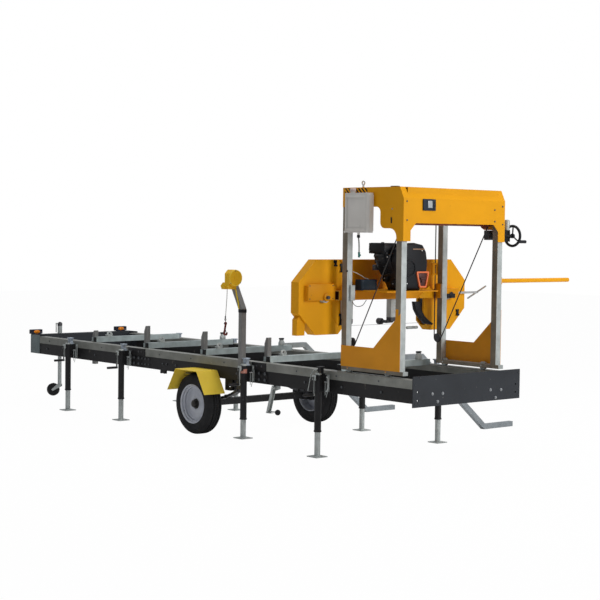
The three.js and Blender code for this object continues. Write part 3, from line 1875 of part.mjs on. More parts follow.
function addSawHead() {
  const guard = bandGuard();
  addPiece('head_frame', headFrame(), finishes.orange);
  addPiece('near_band_guard', mirrored(guardWithChute()), finishes.yellow);
  addPiece('far_band_guard', guard, finishes.yellow);
  addTwins('band_wheel', bandWheel(), finishes.charcoal);
  addPiece('saw_blade', sawBlade(), finishes.steel);
  addPiece('tension_screw', tensionScrew(), finishes.steel);
  addPiece('engine', engine(), finishes.charcoal);
}

addTrack();
addJacks();
addTrailerGear();
addDavit();
addCarriage();
addSawHead();

// The origin is on the floor, under the middle of the whole machine.
const reach = new THREE.Box3().setFromObject(sawmill);
const middle = reach.getCenter(new THREE.Vector3());
sawmill.position.set(-middle.x, -middle.y, -reach.min.z);

export default sawmill;
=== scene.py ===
# %% [markdown]
# A portable band sawmill, dressed in Blender. The machine is a six metre log track on wheels and
# screw jacks. A rolling gantry stands on it, and the gantry lifts an engine-driven saw head. The
# shapes that carry load come ready from the CAD model, so this lesson gives them their finishes and
# adds what a workshop would bolt on: cords, wheels, engine, latches and bolts. Labels stay blank.

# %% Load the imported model
import math
import bmesh
import bpy
from mathutils import Matrix, Vector


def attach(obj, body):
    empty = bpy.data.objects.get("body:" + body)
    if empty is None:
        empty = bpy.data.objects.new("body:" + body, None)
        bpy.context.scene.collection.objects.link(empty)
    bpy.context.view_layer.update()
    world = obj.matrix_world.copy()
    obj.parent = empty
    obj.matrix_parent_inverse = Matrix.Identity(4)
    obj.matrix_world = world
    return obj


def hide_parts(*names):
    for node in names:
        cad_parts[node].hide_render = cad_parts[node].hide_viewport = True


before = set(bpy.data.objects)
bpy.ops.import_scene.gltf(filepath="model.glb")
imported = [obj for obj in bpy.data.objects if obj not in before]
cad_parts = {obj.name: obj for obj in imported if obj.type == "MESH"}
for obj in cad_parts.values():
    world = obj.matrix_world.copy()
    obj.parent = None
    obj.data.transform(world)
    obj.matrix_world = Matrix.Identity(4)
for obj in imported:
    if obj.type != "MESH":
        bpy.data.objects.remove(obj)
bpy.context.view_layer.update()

# %% [markdown]
# The drawing of the machine counts from the far end of the track, from its centre line and from the
# floor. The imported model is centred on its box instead. One helper turns a place on the drawing
# into a place in the model, so every number below can be read along the track.

# %% Places along the track
TRACK_LENGTH = 6.0
end_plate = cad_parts["near_end_plate"]
corners = [end_plate.matrix_world @ Vector(corner) for corner in end_plate.bound_box]
TRACK = Vector((max(c.x for c in corners) - TRACK_LENGTH, sum(c.y for c in corners) / 8, 0.0))
RAIL_FACE = 0.65
SIDES = (("near", -1), ("far", 1))


def at(x, y, z):
    """The model's point for a place on the track drawing, in metres."""
    return Vector((x, y, z)) + TRACK


print("track end:", tuple(round(v, 4) for v in at(TRACK_LENGTH, 0, 0)))

# %% [markdown]
# The camera stands low beside the near end and looks along the machine with a long lens. Its place,
# turn and lens were found by matching straight edges of the track and the gantry to the picture.

# %% Camera
yaw, pitch, roll = math.radians(40.75), math.radians(2.55), math.radians(0.73)
view = Vector((-math.cos(yaw) * math.cos(pitch), math.sin(yaw) * math.cos(pitch), -math.sin(pitch)))
side = view.cross(Vector((0, 0, 1))).normalized()
lift = side.cross(view)
right = math.cos(roll) * side + math.sin(roll) * lift
up = -math.sin(roll) * side + math.cos(roll) * lift
camera = bpy.data.objects.new("camera", bpy.data.cameras.new("camera"))
bpy.context.collection.objects.link(camera)
turn = Matrix((right, up, -view)).transposed().to_4x4()
camera.matrix_world = Matrix.Translation(at(14.187, -8.916, 1.892)) @ turn
camera.data.sensor_width = 36
camera.data.lens = 86.93
camera.data.clip_end = 200
bpy.context.scene.camera = camera
print("camera at", tuple(round(v, 3) for v in camera.location))

# %% [markdown]
# Paint, zinc and rubber are all made by one recipe: a base colour that drifts a little, a second
# colour that comes through in worn or dusty patches, a fine grain in the roughness and a bump. It is
# a coat. A material is one coat, or several coats kept apart by zones along an axis of the object,
# the way a part is masked before it is sprayed. Object coordinates keep each pattern in metres.

# %% Coats
def coat(colour, roughness=0.5, metallic=0.0, drift=0.12, size=5.0, worn=None, wear=0.0,
         wear_size=30.0, grain=350.0, bump=0.15, shine=0.25):
    """The settings of one coat."""
    return {"colour": colour, "roughness": roughness, "metallic": metallic, "drift": drift,
            "size": size, "worn": worn or colour, "wear": wear, "wear_size": wear_size,
            "grain": grain, "bump": bump, "shine": shine}


def add(tree, kind, inputs=None, **settings):
    """Adds a node, sets its options, and sets or links its inputs."""
    node = tree.nodes.new(kind)
    for name, value in settings.items():
        setattr(node, name, value)
    for name, value in (inputs or {}).items():
        if isinstance(value, bpy.types.NodeSocket):
            tree.links.new(value, node.inputs[name])
        else:
            node.inputs[name].default_value = value
    return node


def sum_of(tree, operation, first, second):
    node = add(tree, "ShaderNodeMath", {0: first, 1: second}, operation=operation)
    return node.outputs[0]


def colour_mix(tree, factor, first, second):
    node = add(tree, "ShaderNodeMix", {0: factor, 6: first, 7: second}, data_type="RGBA")
    return node.outputs[2]


def value_mix(tree, factor, first, second):
    node = add(tree, "ShaderNodeMix", {0: factor, 2: first, 3: second}, data_type="FLOAT")
    return node.outputs[0]


def noise(tree, place, scale, detail=4.0):
    return add(tree, "ShaderNodeTexNoise", {"Vector": place, "Scale": scale, "Detail": detail}).outputs[0]


def spread(tree, value, low, high, out_low=0.0, out_high=1.0):
    inputs = {0: value, 1: low, 2: high, 3: out_low, 4: out_high}
    return add(tree, "ShaderNodeMapRange", inputs).outputs[0]


print("a coat has", len(coat((1, 1, 1))), "settings")


# %% Coats into nodes
def lay(tree, place, c):
    """The sockets of one coat: its colour, roughness and height."""
    slow = noise(tree, place, c["size"])
    fine = noise(tree, place, c["grain"], 2.0)
    base = c["colour"]
    dark = tuple(v * (1 - c["drift"]) for v in base) + (1,)
    pale = tuple(min(v * (1 + c["drift"]), 1) for v in base) + (1,)
    shade = colour_mix(tree, spread(tree, slow, 0.3, 0.7), dark, pale)
    rough = spread(tree, fine, 0.3, 0.7, max(c["roughness"] - 0.06, 0.03), c["roughness"] + 0.06)
    if c["wear"] > 0:
        patch = noise(tree, place, c["wear_size"], 8.0)
        edge = 0.72 - 0.3 * c["wear"]
        mask = spread(tree, patch, edge, edge + 0.07)
        shade = colour_mix(tree, mask, shade, tuple(c["worn"]) + (1,))
        rough = value_mix(tree, mask, rough, min(c["roughness"] + 0.2, 1.0))
    height = sum_of(tree, "MULTIPLY", fine, c["bump"])
    return shade, rough, height


def zone_mask(tree, place, axis, low, high):
    """1 between low and high along an axis. The axis 'across' counts both ways from the centre line."""
    split = add(tree, "ShaderNodeSeparateXYZ", {0: place})
    if axis == "across":
        offset = sum_of(tree, "SUBTRACT", split.outputs[1], TRACK.y)
        field = sum_of(tree, "ABSOLUTE", offset, 0.0)
        shift = 0.0
    else:
        field = split.outputs["XYZ".index(axis.upper())]
        shift = TRACK["xyz".index(axis)]
    above = sum_of(tree, "GREATER_THAN", field, low + shift)
    below = sum_of(tree, "LESS_THAN", field, high + shift)
    return sum_of(tree, "MULTIPLY", above, below)


def finish_of(name, base, *zones):
    """A material of one coat, then of a further coat in each zone (coat, then one or more masks)."""
    material = bpy.data.materials.new(name)
    material.use_nodes = True
    tree = material.node_tree
    shader = tree.nodes["Principled BSDF"]
    place = add(tree, "ShaderNodeTexCoord").outputs["Object"]
    shade, rough, height = lay(tree, place, base)
    metal = base["metallic"]
    for extra, *limits in zones:
        mask = 1.0
        for limit in limits:
            found = zone_mask(tree, place, *limit)
            mask = found if mask == 1.0 else sum_of(tree, "MULTIPLY", mask, found)
        more, more_rough, more_height = lay(tree, place, extra)
        shade = colour_mix(tree, mask, shade, more)
        rough = value_mix(tree, mask, rough, more_rough)
        height = value_mix(tree, mask, height, more_height)
        if extra["metallic"] != base["metallic"]:
            metal = value_mix(tree, mask, metal, extra["metallic"])
    bump = add(tree, "ShaderNodeBump", {"Height": height, "Distance": 0.002, "Strength": 0.35})
    shader.inputs["Specular IOR Level"].default_value = base["shine"]
    tree.links.new(shade, shader.inputs["Base Color"])
    tree.links.new(rough, shader.inputs["Roughness"])
    tree.links.new(bump.outputs[0], shader.inputs["Normal"])
    if isinstance(metal, bpy.types.NodeSocket):
        tree.links.new(metal, shader.inputs["Metallic"])
    else:
        shader.inputs["Metallic"].default_value = metal
    return material


def mixed(name, *settings):
    """A material of one coat, for a finish that is used in one place."""
    return finish_of(name, coat(*settings))


print("coats ready")

# %% [markdown]
# The finishes of this machine. The yellow is a warm powder coat, deeper on the saw head than on the
# mudguards. Posts, bunks and legs are galvanised, which is grey with a faint spangle and dull white
# bloom. The track and the jacks are black paint with dust in it. Rubber is nearly black and matt.

# %% Palette
DULL = coat((0.085, 0.092, 0.1), 0.5, 0.3, 0.2, 30, (0.2, 0.2, 0.2), 0.15, 60, 400, 0.3)
TEAL = coat((0.15, 0.185, 0.19), 0.5, 0.2, 0.2, 10, (0.26, 0.3, 0.3), 0.2, 30, 260, 0.25)
ZINC = coat((0.43, 0.46, 0.45), 0.45, 0.25, 0.16, 14, (0.6, 0.62, 0.6), 0.12, 45, 260, 0.25)
STEEL = coat((0.5, 0.5, 0.49), 0.3, 0.85, 0.1, 20, (0.22, 0.17, 0.13), 0.05, 60, 500, 0.2)
DARK_STEEL = coat((0.07, 0.07, 0.075), 0.45, 0.5, 0.2, 15, (0.2, 0.2, 0.2), 0.1, 60, 500, 0.2)
YELLOW = coat((0.78, 0.345, 0.006), 0.42, 0.0, 0.06, 3, (0.55, 0.25, 0.02), 0.06, 35, 420, 0.3, 0.12)
FENDER = coat((1.0, 0.7, 0.075), 0.42, 0.0, 0.07, 5, (0.72, 0.56, 0.22), 0.12, 40, 420, 0.3, 0.2)
ORANGE = coat((0.68, 0.275, 0.006), 0.45, 0.0, 0.08, 4, (0.42, 0.18, 0.02), 0.08, 35, 420, 0.3, 0.12)
BLACK = coat((0.012, 0.012, 0.013), 0.5, 0.0, 0.2, 8, (0.11, 0.105, 0.1), 0.14, 40, 380, 0.3)
CHARCOAL = coat((0.02, 0.023, 0.028), 0.5, 0.0, 0.15, 5, (0.12, 0.115, 0.11), 0.1, 35, 380, 0.3)
RUBBER = coat((0.018, 0.018, 0.019), 0.82, 0.0, 0.25, 12, (0.075, 0.068, 0.06), 0.18, 30, 240, 0.6)
PLASTIC = coat((0.01, 0.011, 0.0135), 0.45, 0.0, 0.15, 10, (0.04, 0.04, 0.042), 0.06, 50, 700, 0.35, 0.2)
GREY = coat((0.2, 0.2, 0.195), 0.5, 0.1, 0.12, 8, (0.09, 0.07, 0.06), 0.1, 40, 380, 0.3)
TANK = coat((0.7, 0.68, 0.64), 0.5, 0.0, 0.05, 6, (0.45, 0.43, 0.39), 0.06, 25, 300, 0.2)
RIM = coat((0.46, 0.48, 0.53), 0.36, 0.3, 0.1, 12, (0.2, 0.17, 0.14), 0.1, 40, 350, 0.25)
RED = coat((0.17, 0.028, 0.022), 0.45, 0.1, 0.2, 30, (0.25, 0.22, 0.2), 0.12, 80, 400, 0.3)
BLUE = coat((0.012, 0.022, 0.034), 0.35, 0.0, 0.15, 20, (0.1, 0.14, 0.18), 0.1, 80, 500, 0.2)
SIGNAL = coat((0.85, 0.2, 0.07), 0.4, 0.0, 0.06, 10, (0.5, 0.2, 0.1), 0.06, 60, 500, 0.2)
AMBER = coat((0.8, 0.24, 0.01), 0.2, 0.0, 0.08, 30, None, 0, 30, 500, 0.3)
BARE = coat((0.33, 0.33, 0.32), 0.42, 0.75, 0.15, 30, (0.16, 0.14, 0.12), 0.1, 60, 500, 0.3)

yellow = finish_of("yellow powder coat", YELLOW)
orange = finish_of("orange powder coat", ORANGE)
zinc = finish_of("galvanised", ZINC)
steel = finish_of("bright steel", STEEL)
dark_steel = finish_of("dark steel", DARK_STEEL)
black = finish_of("black paint", BLACK)
charcoal = finish_of("charcoal paint", CHARCOAL)
rubber = finish_of("rubber", RUBBER)
plastic = finish_of("black plastic", PLASTIC)
grey = finish_of("grey paint", GREY)
rim_paint = finish_of("silver rim paint", RIM)
red = finish_of("red-brown paint", RED)
blue = finish_of("dark blue case", BLUE)
signal = finish_of("signal orange", SIGNAL)
amber = finish_of("amber lens", AMBER)
bare = finish_of("cast aluminium", BARE)
tank_plastic = finish_of("pale tank plastic", TANK)
dull = finish_of("dull zinc bolts", DULL)
teal = finish_of("aged zinc", TEAL)
print("finishes:", len(bpy.data.materials))

# %% [markdown]
# Every piece below is modelled as by hand: a primitive at its size and place, shaped in edit mode.
# The helpers here hold only the steps that come back again and again, such as picking faces by
# where they look, rounding edges, and handing the piece over to the body that carries it.

# %% Picking and shaping
def drop_selection():
    if bpy.context.object and bpy.context.object.mode != "OBJECT":
        bpy.ops.object.mode_set(mode="OBJECT")
    bpy.ops.object.select_all(action="DESELECT")


def choose(piece):
    drop_selection()
    piece.select_set(True)
    bpy.context.view_layer.objects.active = piece


def pick(piece, test, kind="FACE"):
    """Opens the piece in edit mode with only the faces or edges that pass the test selected."""
    choose(piece)
    bpy.ops.object.mode_set(mode="EDIT")
    bpy.ops.mesh.select_mode(type=kind)
    bpy.ops.mesh.select_all(action="DESELECT")
    shape = bmesh.from_edit_mesh(piece.data)
    shape.normal_update()
    for item in (shape.faces if kind == "FACE" else shape.edges):
        item.select_set(bool(test(item)))
    shape.select_flush_mode()
    bmesh.update_edit_mesh(piece.data)


def looks(direction, limit=0.9):
    return lambda face: face.normal.dot(Vector(direction)) > limit


def sharp(edge):
    return len(edge.link_faces) == 2 and edge.calc_face_angle(0) > 0.5


def rounded(piece, width=0.002, steps=2, test=sharp):
    pick(piece, test, "EDGE")
    bpy.ops.mesh.bevel(offset=width, segments=steps, affect="EDGES", clamp_overlap=True)
    bpy.ops.object.mode_set(mode="OBJECT")
    return piece


def pressed(piece, test, thickness, depth=0.0, each=False, rise=None):
    """Insets the picked faces, pushes them in or out, and moves them by rise where it is given."""
    pick(piece, test)
    bpy.ops.mesh.inset(thickness=thickness, depth=depth, use_individual=each)
    if rise:
        bpy.ops.transform.translate(value=rise)
    bpy.ops.object.mode_set(mode="OBJECT")


def settled(piece, name):
    """Puts the piece's place into its mesh and names it."""
    choose(piece)
    bpy.ops.object.transform_apply(location=True, rotation=True, scale=True)
    piece.name = name
    piece.data.name = name
    return piece


print("shaping helpers ready")


# %% First shapes
def block(name, low, high, width=0.002, steps=2):
    """A box between two corners with rounded edges."""
    middle = [(a + b) / 2 for a, b in zip(low, high)]
    drop_selection()
    bpy.ops.mesh.primitive_cube_add(size=1, location=middle)
    piece = bpy.context.object
    piece.scale = [abs(b - a) for a, b in zip(low, high)]
    settled(piece, name)
    return rounded(piece, width, steps) if width else piece


def rod(name, start, end, radius, sides=20, width=0.0015):
    """A round bar between two points with eased ends."""
    start, end = Vector(start), Vector(end)
    drop_selection()
    bpy.ops.mesh.primitive_cylinder_add(vertices=sides, radius=radius, depth=(end - start).length,
                                        location=(start + end) / 2)
    piece = bpy.context.object
    piece.rotation_mode = "QUATERNION"
    piece.rotation_quaternion = (end - start).to_track_quat("Z", "Y")
    settled(piece, name)
    return rounded(piece, width) if width else piece


def outline(name, points, axis, low, high, width=0.0015):
    """A plate: a filled circle's corners are moved to the outline, and the face is extruded."""
    drop_selection()
    bpy.ops.mesh.primitive_circle_add(vertices=len(points), fill_type="NGON", location=(0, 0, 0))
    piece = bpy.context.object
    order = {"x": (2, 0, 1), "y": (0, 2, 1), "z": (0, 1, 2)}[axis]
    for corner, (u, v) in zip(piece.data.vertices, points):
        corner.co = [(u, v, low)[i] for i in order]
    choose(piece)
    bpy.ops.object.mode_set(mode="EDIT")
    bpy.ops.mesh.select_all(action="SELECT")
    step = Vector([high - low if a == axis else 0 for a in "xyz"])
    bpy.ops.mesh.extrude_region_move(TRANSFORM_OT_translate={"value": step})
    bpy.ops.mesh.select_all(action="SELECT")
    bpy.ops.mesh.normals_make_consistent(inside=False)
    bpy.ops.object.mode_set(mode="OBJECT")
    settled(piece, name)
    return rounded(piece, width) if width else piece


def plate(name, points, axis, low, high, width=0.0015):
    """An outline drawn in places along the track, put where it belongs."""
    piece = outline(name, points, axis, low, high, width)
    piece.location = TRACK
    return settled(piece, name)


def turned(name, profile, centre, axis, steps=48):
    """A ring: a closed profile of (radius, along) is spun round an axis through the centre."""
    drop_selection()
    bpy.ops.mesh.primitive_circle_add(vertices=len(profile), fill_type="NOTHING", location=(0, 0, 0))
    piece = bpy.context.object
    for corner, (radius, along) in zip(piece.data.vertices, profile):
        corner.co = {"x": (along, 0, radius), "y": (radius, along, 0), "z": (radius, 0, along)}[axis]
    choose(piece)
    bpy.ops.object.mode_set(mode="EDIT")
    bpy.ops.mesh.select_all(action="SELECT")
    turn_axis = [1.0 if a == axis else 0.0 for a in "xyz"]
    bpy.ops.mesh.spin(steps=steps, angle=2 * math.pi, center=(0, 0, 0), axis=turn_axis)
    bpy.ops.mesh.select_all(action="SELECT")
    bpy.ops.mesh.remove_doubles(threshold=0.00002)
    bpy.ops.mesh.normals_make_consistent(inside=False)
    bpy.ops.object.mode_set(mode="OBJECT")
    piece.location = centre
    return settled(piece, name)


def wire(name, points, radius, sides=4):
    """A smooth tube through points, made as a curve and turned into a mesh with closed ends."""
    line = bpy.data.curves.new(name, "CURVE")
    line.dimensions = "3D"
    line.bevel_depth = radius
    line.bevel_resolution = sides
    line.use_fill_caps = True
    path = line.splines.new("POLY")
    path.points.add(len(points) - 1)
    for knot, point in zip(path.points, points):
        knot.co = (*point, 1)
    piece = bpy.data.objects.new(name, line)
    bpy.context.collection.objects.link(piece)
    choose(piece)
    bpy.ops.object.convert(target="MESH")
    return settled(bpy.context.object, name)


print("first shapes ready")


# %% Copies, joins and the hand-over
def copied(piece, moves):
    """The piece and one copy of it, with its own mesh, for each move."""
    pieces = [piece]
    for move in moves:
        choose(piece)
        bpy.ops.object.duplicate()
        twin = bpy.context.object
        twin.location = Vector(move)
        bpy.ops.object.transform_apply(location=True, rotation=False, scale=False)
        pieces.append(twin)
    return pieces


def joined(name, pieces):
    drop_selection()
    for piece in pieces:
        piece.select_set(True)
    bpy.context.view_layer.objects.active = pieces[0]
    if len(pieces) > 1:
        bpy.ops.object.join()
    return settled(bpy.context.object, name)


def cut_away(piece, tool):
    """Cuts the tool's shape out of the piece and drops the tool."""
    change = piece.modifiers.new("cut", "BOOLEAN")
    change.operation = "DIFFERENCE"
    change.solver = "EXACT"
    change.object = tool
    choose(piece)
    bpy.ops.object.modifier_apply(modifier=change.name)
    bpy.data.objects.remove(tool)
    return piece


def handed(piece, body, slot, finish, smooth=35):
    """Smooths the piece, paints it, and gives it to the body that carries it."""
    choose(piece)
    bpy.ops.object.shade_smooth_by_angle(angle=math.radians(smooth))
    piece.data.materials.clear()
    piece.data.materials.append(finish)
    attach(piece, body)
    return piece


def fitted(name, parts, *where):
    """Joins the parts under one name and hands them over."""
    return handed(joined(name, parts), *where)


def bolts(name, places, axis, size, body, slot, finish, washer=True):
    """Hexagon heads on washers, modelled once and copied to every place."""
    out = Vector(axis)
    first = Vector(places[0])
    head = rod(name, first, first + out * size * 0.75, size, 6, size * 0.12)
    parts = [head]
    if washer:
        parts.append(rod(name + "_washer", first, first + out * size * 0.2, size * 1.35, 16, size * 0.05))
    single = joined(name, parts)
    everything = copied(single, [Vector(p) - first for p in places[1:]])
    return handed(joined(name, everything), body, slot, finish, 25)


def arc_points(centre, radius, start, end, steps):
    turns = [math.radians(start + (end - start) * i / steps) for i in range(steps + 1)]
    return [(centre[0] + radius * math.cos(t), centre[1] + radius * math.sin(t)) for t in turns]


def smooth_path(points, steps=6):
    """More points on one smooth curve through the given ones."""
    knots = [Vector(p) for p in points]
    knots = [2 * knots[0] - knots[1]] + knots + [2 * knots[-1] - knots[-2]]
    path = []
    for a, b, c, d in zip(knots, knots[1:], knots[2:], knots[3:]):
        for i in range(steps):
            t = i / steps
            path.append(0.5 * ((2 * b) + (c - a) * t + (2 * a - 5 * b + 4 * c - d) * t ** 2
                               + (3 * b - a - 3 * c + d) * t ** 3))
    return path + [knots[-2]]


def length_of(points):
    return sum((Vector(b) - Vector(a)).length for a, b in zip(points, points[1:]))


print("hand-over ready")

# %% [markdown]
# The studio is plain: a pale floor, a white backdrop that only the camera and reflections see, one
# broad lamp to the right of the camera and a weak one on the left. The sides of the machine that
# look left stay in soft shade, which is what makes its posts and plates read as square.

# %% Studio
drop_selection()
bpy.ops.mesh.primitive_plane_add(size=60, location=(0, 0, -0.0015))
floor = bpy.context.object
floor.name = "studio_floor"
paper = bpy.data.materials.new("studio paper")
paper.use_nodes = True
tree = paper.node_tree
tree.nodes["Principled BSDF"].inputs["Base Color"].default_value = (0.93, 0.93, 0.93, 1)
tree.nodes["Principled BSDF"].inputs["Roughness"].default_value = 0.9
tree.nodes["Principled BSDF"].inputs["Specular IOR Level"].default_value = 0.1
shown = add(tree, "ShaderNodeLightPath").outputs["Is Camera Ray"]
glow = add(tree, "ShaderNodeEmission", {"Color": (1, 1, 1, 1), "Strength": 1.0})
blend = add(tree, "ShaderNodeMixShader", {0: sum_of(tree, "MULTIPLY", shown, 0.98)})
tree.links.new(tree.nodes["Principled BSDF"].outputs[0], blend.inputs[1])
tree.links.new(glow.outputs[0], blend.inputs[2])
tree.links.new(blend.outputs[0], tree.nodes["Material Output"].inputs["Surface"])
floor.data.materials.append(paper)

world = bpy.data.worlds.new("studio")
bpy.context.scene.world = world
world.use_nodes = True
tree = world.node_tree
rays = add(tree, "ShaderNodeLightPath")
seen = sum_of(tree, "MAXIMUM", rays.outputs["Is Camera Ray"], rays.outputs["Is Transmission Ray"])
soft = colour_mix(tree, rays.outputs["Is Glossy Ray"], (0.23, 0.235, 0.245, 1), (0.62, 0.63, 0.65, 1))
sky = colour_mix(tree, seen, soft, (1.0, 1.0, 1.0, 1))
tree.links.new(sky, tree.nodes["Background"].inputs["Color"])
tree.nodes["Background"].inputs["Strength"].default_value = 1.0


def lamp(name, place, target, size, power):
    light = bpy.data.lights.new(name, "AREA")
    light.size = size
    light.energy = power
    holder = bpy.data.objects.new(name, light)
    holder.location = place
    holder.rotation_mode = "QUATERNION"
    holder.rotation_quaternion = (Vector(target) - Vector(place)).to_track_quat("-Z", "Y")
    bpy.context.collection.objects.link(holder)


lamp("key", (14.0, 3.0, 5.0), (1.0, 0.0, 1.0), 4.0, 840)
lamp("fill", (2.0, -11.0, 4.0), (0.0, 0.0, 0.8), 6.0, 18)
lamp("top", (1.5, 0.0, 9.0), (0.5, 0.0, 0.0), 8.0, 480)
bpy.context.scene.view_settings.view_transform = "Standard"
print("lamps:", len(bpy.data.lights))

# %% [markdown]
# Two things on the machine hang free: the wire of the davit's winch with its hook, and the short
# water hose under the tank. Each repeats the route that the CAD model settled, point by point. The
# wire's coat is bright steel with a fine bump, because it is laid up from thin strands.

# %% Winch wire, thimble and hook
ROPE_X, ROPE_Y, ROPE_TOP = 3.696, -0.7593, 1.3917
ROPE_LENGTH, ROPE_DRIFT = 0.3, 0.022
shares = [(0, 0), (0, 0.08), (0.15, 0.3), (0.5, 0.55), (0.9, 0.85), (1, 0.94), (1, 1)]
route = [at(ROPE_X - ROPE_DRIFT * d, ROPE_Y, ROPE_TOP - ROPE_LENGTH * f) for d, f in shares]
wire_path = smooth_path(route, 4)
winch_wire = wire("winch_wire", wire_path, 0.003, 3)
print("wire length", round(length_of(wire_path), 3))

hook_x = ROPE_X - ROPE_DRIFT
hook_top = ROPE_TOP - ROPE_LENGTH - 0.0003
low_loop = wire_path[-1] + Vector((0, 0, 0.016))
fittings = [
    turned("wire_thimble", arc_points((0.011, 0), 0.0026, 0, 324, 9), low_loop + Vector((0, 0, 0.004)), "y",
        24),
    rod("wire_ferrule", low_loop + Vector((0, 0, 0.016)), low_loop + Vector((0, 0, 0.036)), 0.006, 14, 0.002),
    rod("hook_pin", at(hook_x, ROPE_Y - 0.014, hook_top - 0.015),
        at(hook_x, ROPE_Y + 0.014, hook_top - 0.015), 0.0052, 12, 0.001),
    wire("hook_latch", [at(hook_x - 0.004, ROPE_Y, hook_top - 0.055),
        at(hook_x + 0.013, ROPE_Y, hook_top - 0.094)], 0.0028, 3),
]
wire_fittings = joined("wire_fittings", fittings)
handed(wire_fittings, "davit", "wire", dark_steel)
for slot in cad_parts["winch_hook"].material_slots:
    slot.material = red
handed(winch_wire, "davit", "wire", mixed("wire rope", (0.3, 0.3, 0.28), 0.4, 0.7, 0.3, 240,
    (0.5, 0.5, 0.48), 0.3, 300, 800, 0.5))
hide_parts("winch_rope")

# %% Water hose and tap
HOSE_TOP, HOSE_LENGTH, HOSE_DRIFT = 1.9057, 0.15, 0.009
HOSE_X, HOSE_Y = 5.336, -0.6541
shares = [(0, 0), (0, 0.15), (0.67, 0.4), (1, 0.7), (1, 1)]
route = [at(HOSE_X + HOSE_DRIFT * d, HOSE_Y, HOSE_TOP - HOSE_LENGTH * f) for d, f in shares]
hose_path = smooth_path(route, 5)
hose = wire("water_hose_piece", hose_path, 0.006, 4)
tap_x = HOSE_X + HOSE_DRIFT
tap_top = HOSE_TOP - HOSE_LENGTH
tap_parts = [
    rod("tap_body", at(tap_x, HOSE_Y, tap_top - 0.041), at(tap_x, HOSE_Y, tap_top + 0.004), 0.0085, 16,
        0.002),
    rod("tap_nut", at(tap_x, HOSE_Y, tap_top - 0.008), at(tap_x, HOSE_Y, tap_top + 0.003), 0.0105, 6, 0.001),
    block("tap_lever", at(tap_x - 0.004, HOSE_Y - 0.001, tap_top - 0.03),
        at(tap_x + 0.004, HOSE_Y + 0.019, tap_top - 0.014), 0.002),
]
tap = joined("water_tap", tap_parts)
handed(tap, "carriage", "hose_clear", mixed("green tap plastic", (0.03, 0.16, 0.14), 0.35, 0.0, 0.1, 30,
    (0.1, 0.2, 0.2), 0.1, 60, 500, 0.2))
handed(hose, "carriage", "hose_clear", mixed("clear grey hose", (0.24, 0.25, 0.24), 0.28, 0.0, 0.15, 40,
    (0.4, 0.4, 0.38), 0.1, 60, 500, 0.2))
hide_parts("water_hose")
print("hose length", round(length_of(hose_path), 3))

# %% [markdown]
# Now the CAD nodes get their coats. Where one node holds pieces that are finished differently, such
# as a black channel with a galvanised running strip, zones keep the coats apart.

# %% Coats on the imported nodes
def dress(finish, *names):
    for name in names:
        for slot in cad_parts[name].material_slots:
            slot.material = finish


RAIL_BLACK = coat((0.011, 0.0105, 0.011), 0.5, 0.0, 0.3, 4, (0.075, 0.068, 0.06), 0.2, 16, 380, 0.3)
STRIP = coat((0.22, 0.225, 0.205), 0.45, 0.25, 0.2, 7, (0.4, 0.41, 0.39), 0.12, 45, 260, 0.25)
DRUM = coat((0.2, 0.055, 0.035), 0.5, 0.2, 0.2, 20, (0.3, 0.2, 0.15), 0.15, 60, 400, 0.3)
JOINT_SPANS = [(1.93, 2.235), (3.93, 4.14)]
rail_finish = finish_of("rail paint and strip", RAIL_BLACK, (STRIP, ("z", 0.6655, 0.76)),
                        *[(RAIL_BLACK, ("z", 0.5, 0.7375), ("x", low, high)) for low, high in JOINT_SPANS])
# POST_LEFT_SHADE is painted shade: a brown-grey coat on the faces of the posts that look left, away from the
# key lamp (the near posts' outer face and the far posts' inner face).
POST_LEFT_SHADE = coat((0.21, 0.185, 0.145), 0.5, 0.2, 0.2, 8, (0.3, 0.28, 0.24), 0.15, 40, 260, 0.25)
frame_finish = finish_of("carriage side frame", ZINC, (POST_LEFT_SHADE, ("y", -0.6125, -0.611)),
    (POST_LEFT_SHADE, ("y", 0.5505, 0.5528)), (ORANGE, ("across", 0.6122, 0.7), ("z", 0.772, 2.4)),
                         (ORANGE, ("across", 0.6095, 0.6122), ("x", 5.157, 5.7805), ("z", 0.7925, 1.3)),
                         (DARK_STEEL, ("across", 0.4, 0.5515), ("z", 0.93, 1.06)))
hood_finish = finish_of("hood paint", YELLOW, (STEEL, ("z", 2.3045, 2.4)),
    (DARK_STEEL, ("across", 0.6168, 0.7)),
                        (DRUM, ("z", 1.955, 2.045), ("across", -1.0, 0.6115), ("x", 5.6, 5.74)))
CREAM = coat((0.8, 0.52, 0.12), 0.5, 0.0, 0.08, 12, (0.5, 0.3, 0.1), 0.1, 50, 400, 0.3)
# TUBE_HOLLOW_SHADE is painted shade: a near-black red laid inside the hollow of the square tube that opens on
# the head's near side.
TUBE_HOLLOW_SHADE = coat((0.11, 0.022, 0.014), 0.7, 0.0, 0.25, 30, (0.2, 0.06, 0.03), 0.3, 70, 300, 0.4)
head_finish = finish_of("head paint", ORANGE, (ZINC, ("z", 1.0, 1.3445)), (DARK_STEEL, ("z", 1.0, 1.182)),
                        (ZINC, ("x", 5.156, 5.3), ("across", 0.5, 0.63), ("z", 1.34, 1.55)),
                        (CREAM, ("y", -0.6312, -0.629), ("z", 1.34, 1.43)),
                        (TUBE_HOLLOW_SHADE, ("y", -0.6288, 0.84), ("z", 1.3487, 1.4213), ("x", 5.0037, 5.0767)))
jack_finish = finish_of("jack paint", BLACK, (ZINC, ("z", 0.5, 0.72), ("across", 0.64, 0.6585)),
                        (ZINC, ("across", 0.786, 0.797)))
davit_finish = finish_of("davit paint", GREY, (BLACK, ("z", 1.183, 1.212)), (DARK_STEEL, ("z", 0.4, 0.572)))
end_finish = finish_of("far end zinc", CHARCOAL, (ZINC, ("y", -0.66, -0.6495)), (ZINC, ("y", 0.6495, 0.66)))
axle_finish = finish_of("axle and spring", BLACK, (DARK_STEEL, ("y", -0.63, -0.55)),
    (DARK_STEEL, ("y", 0.55, 0.63)))

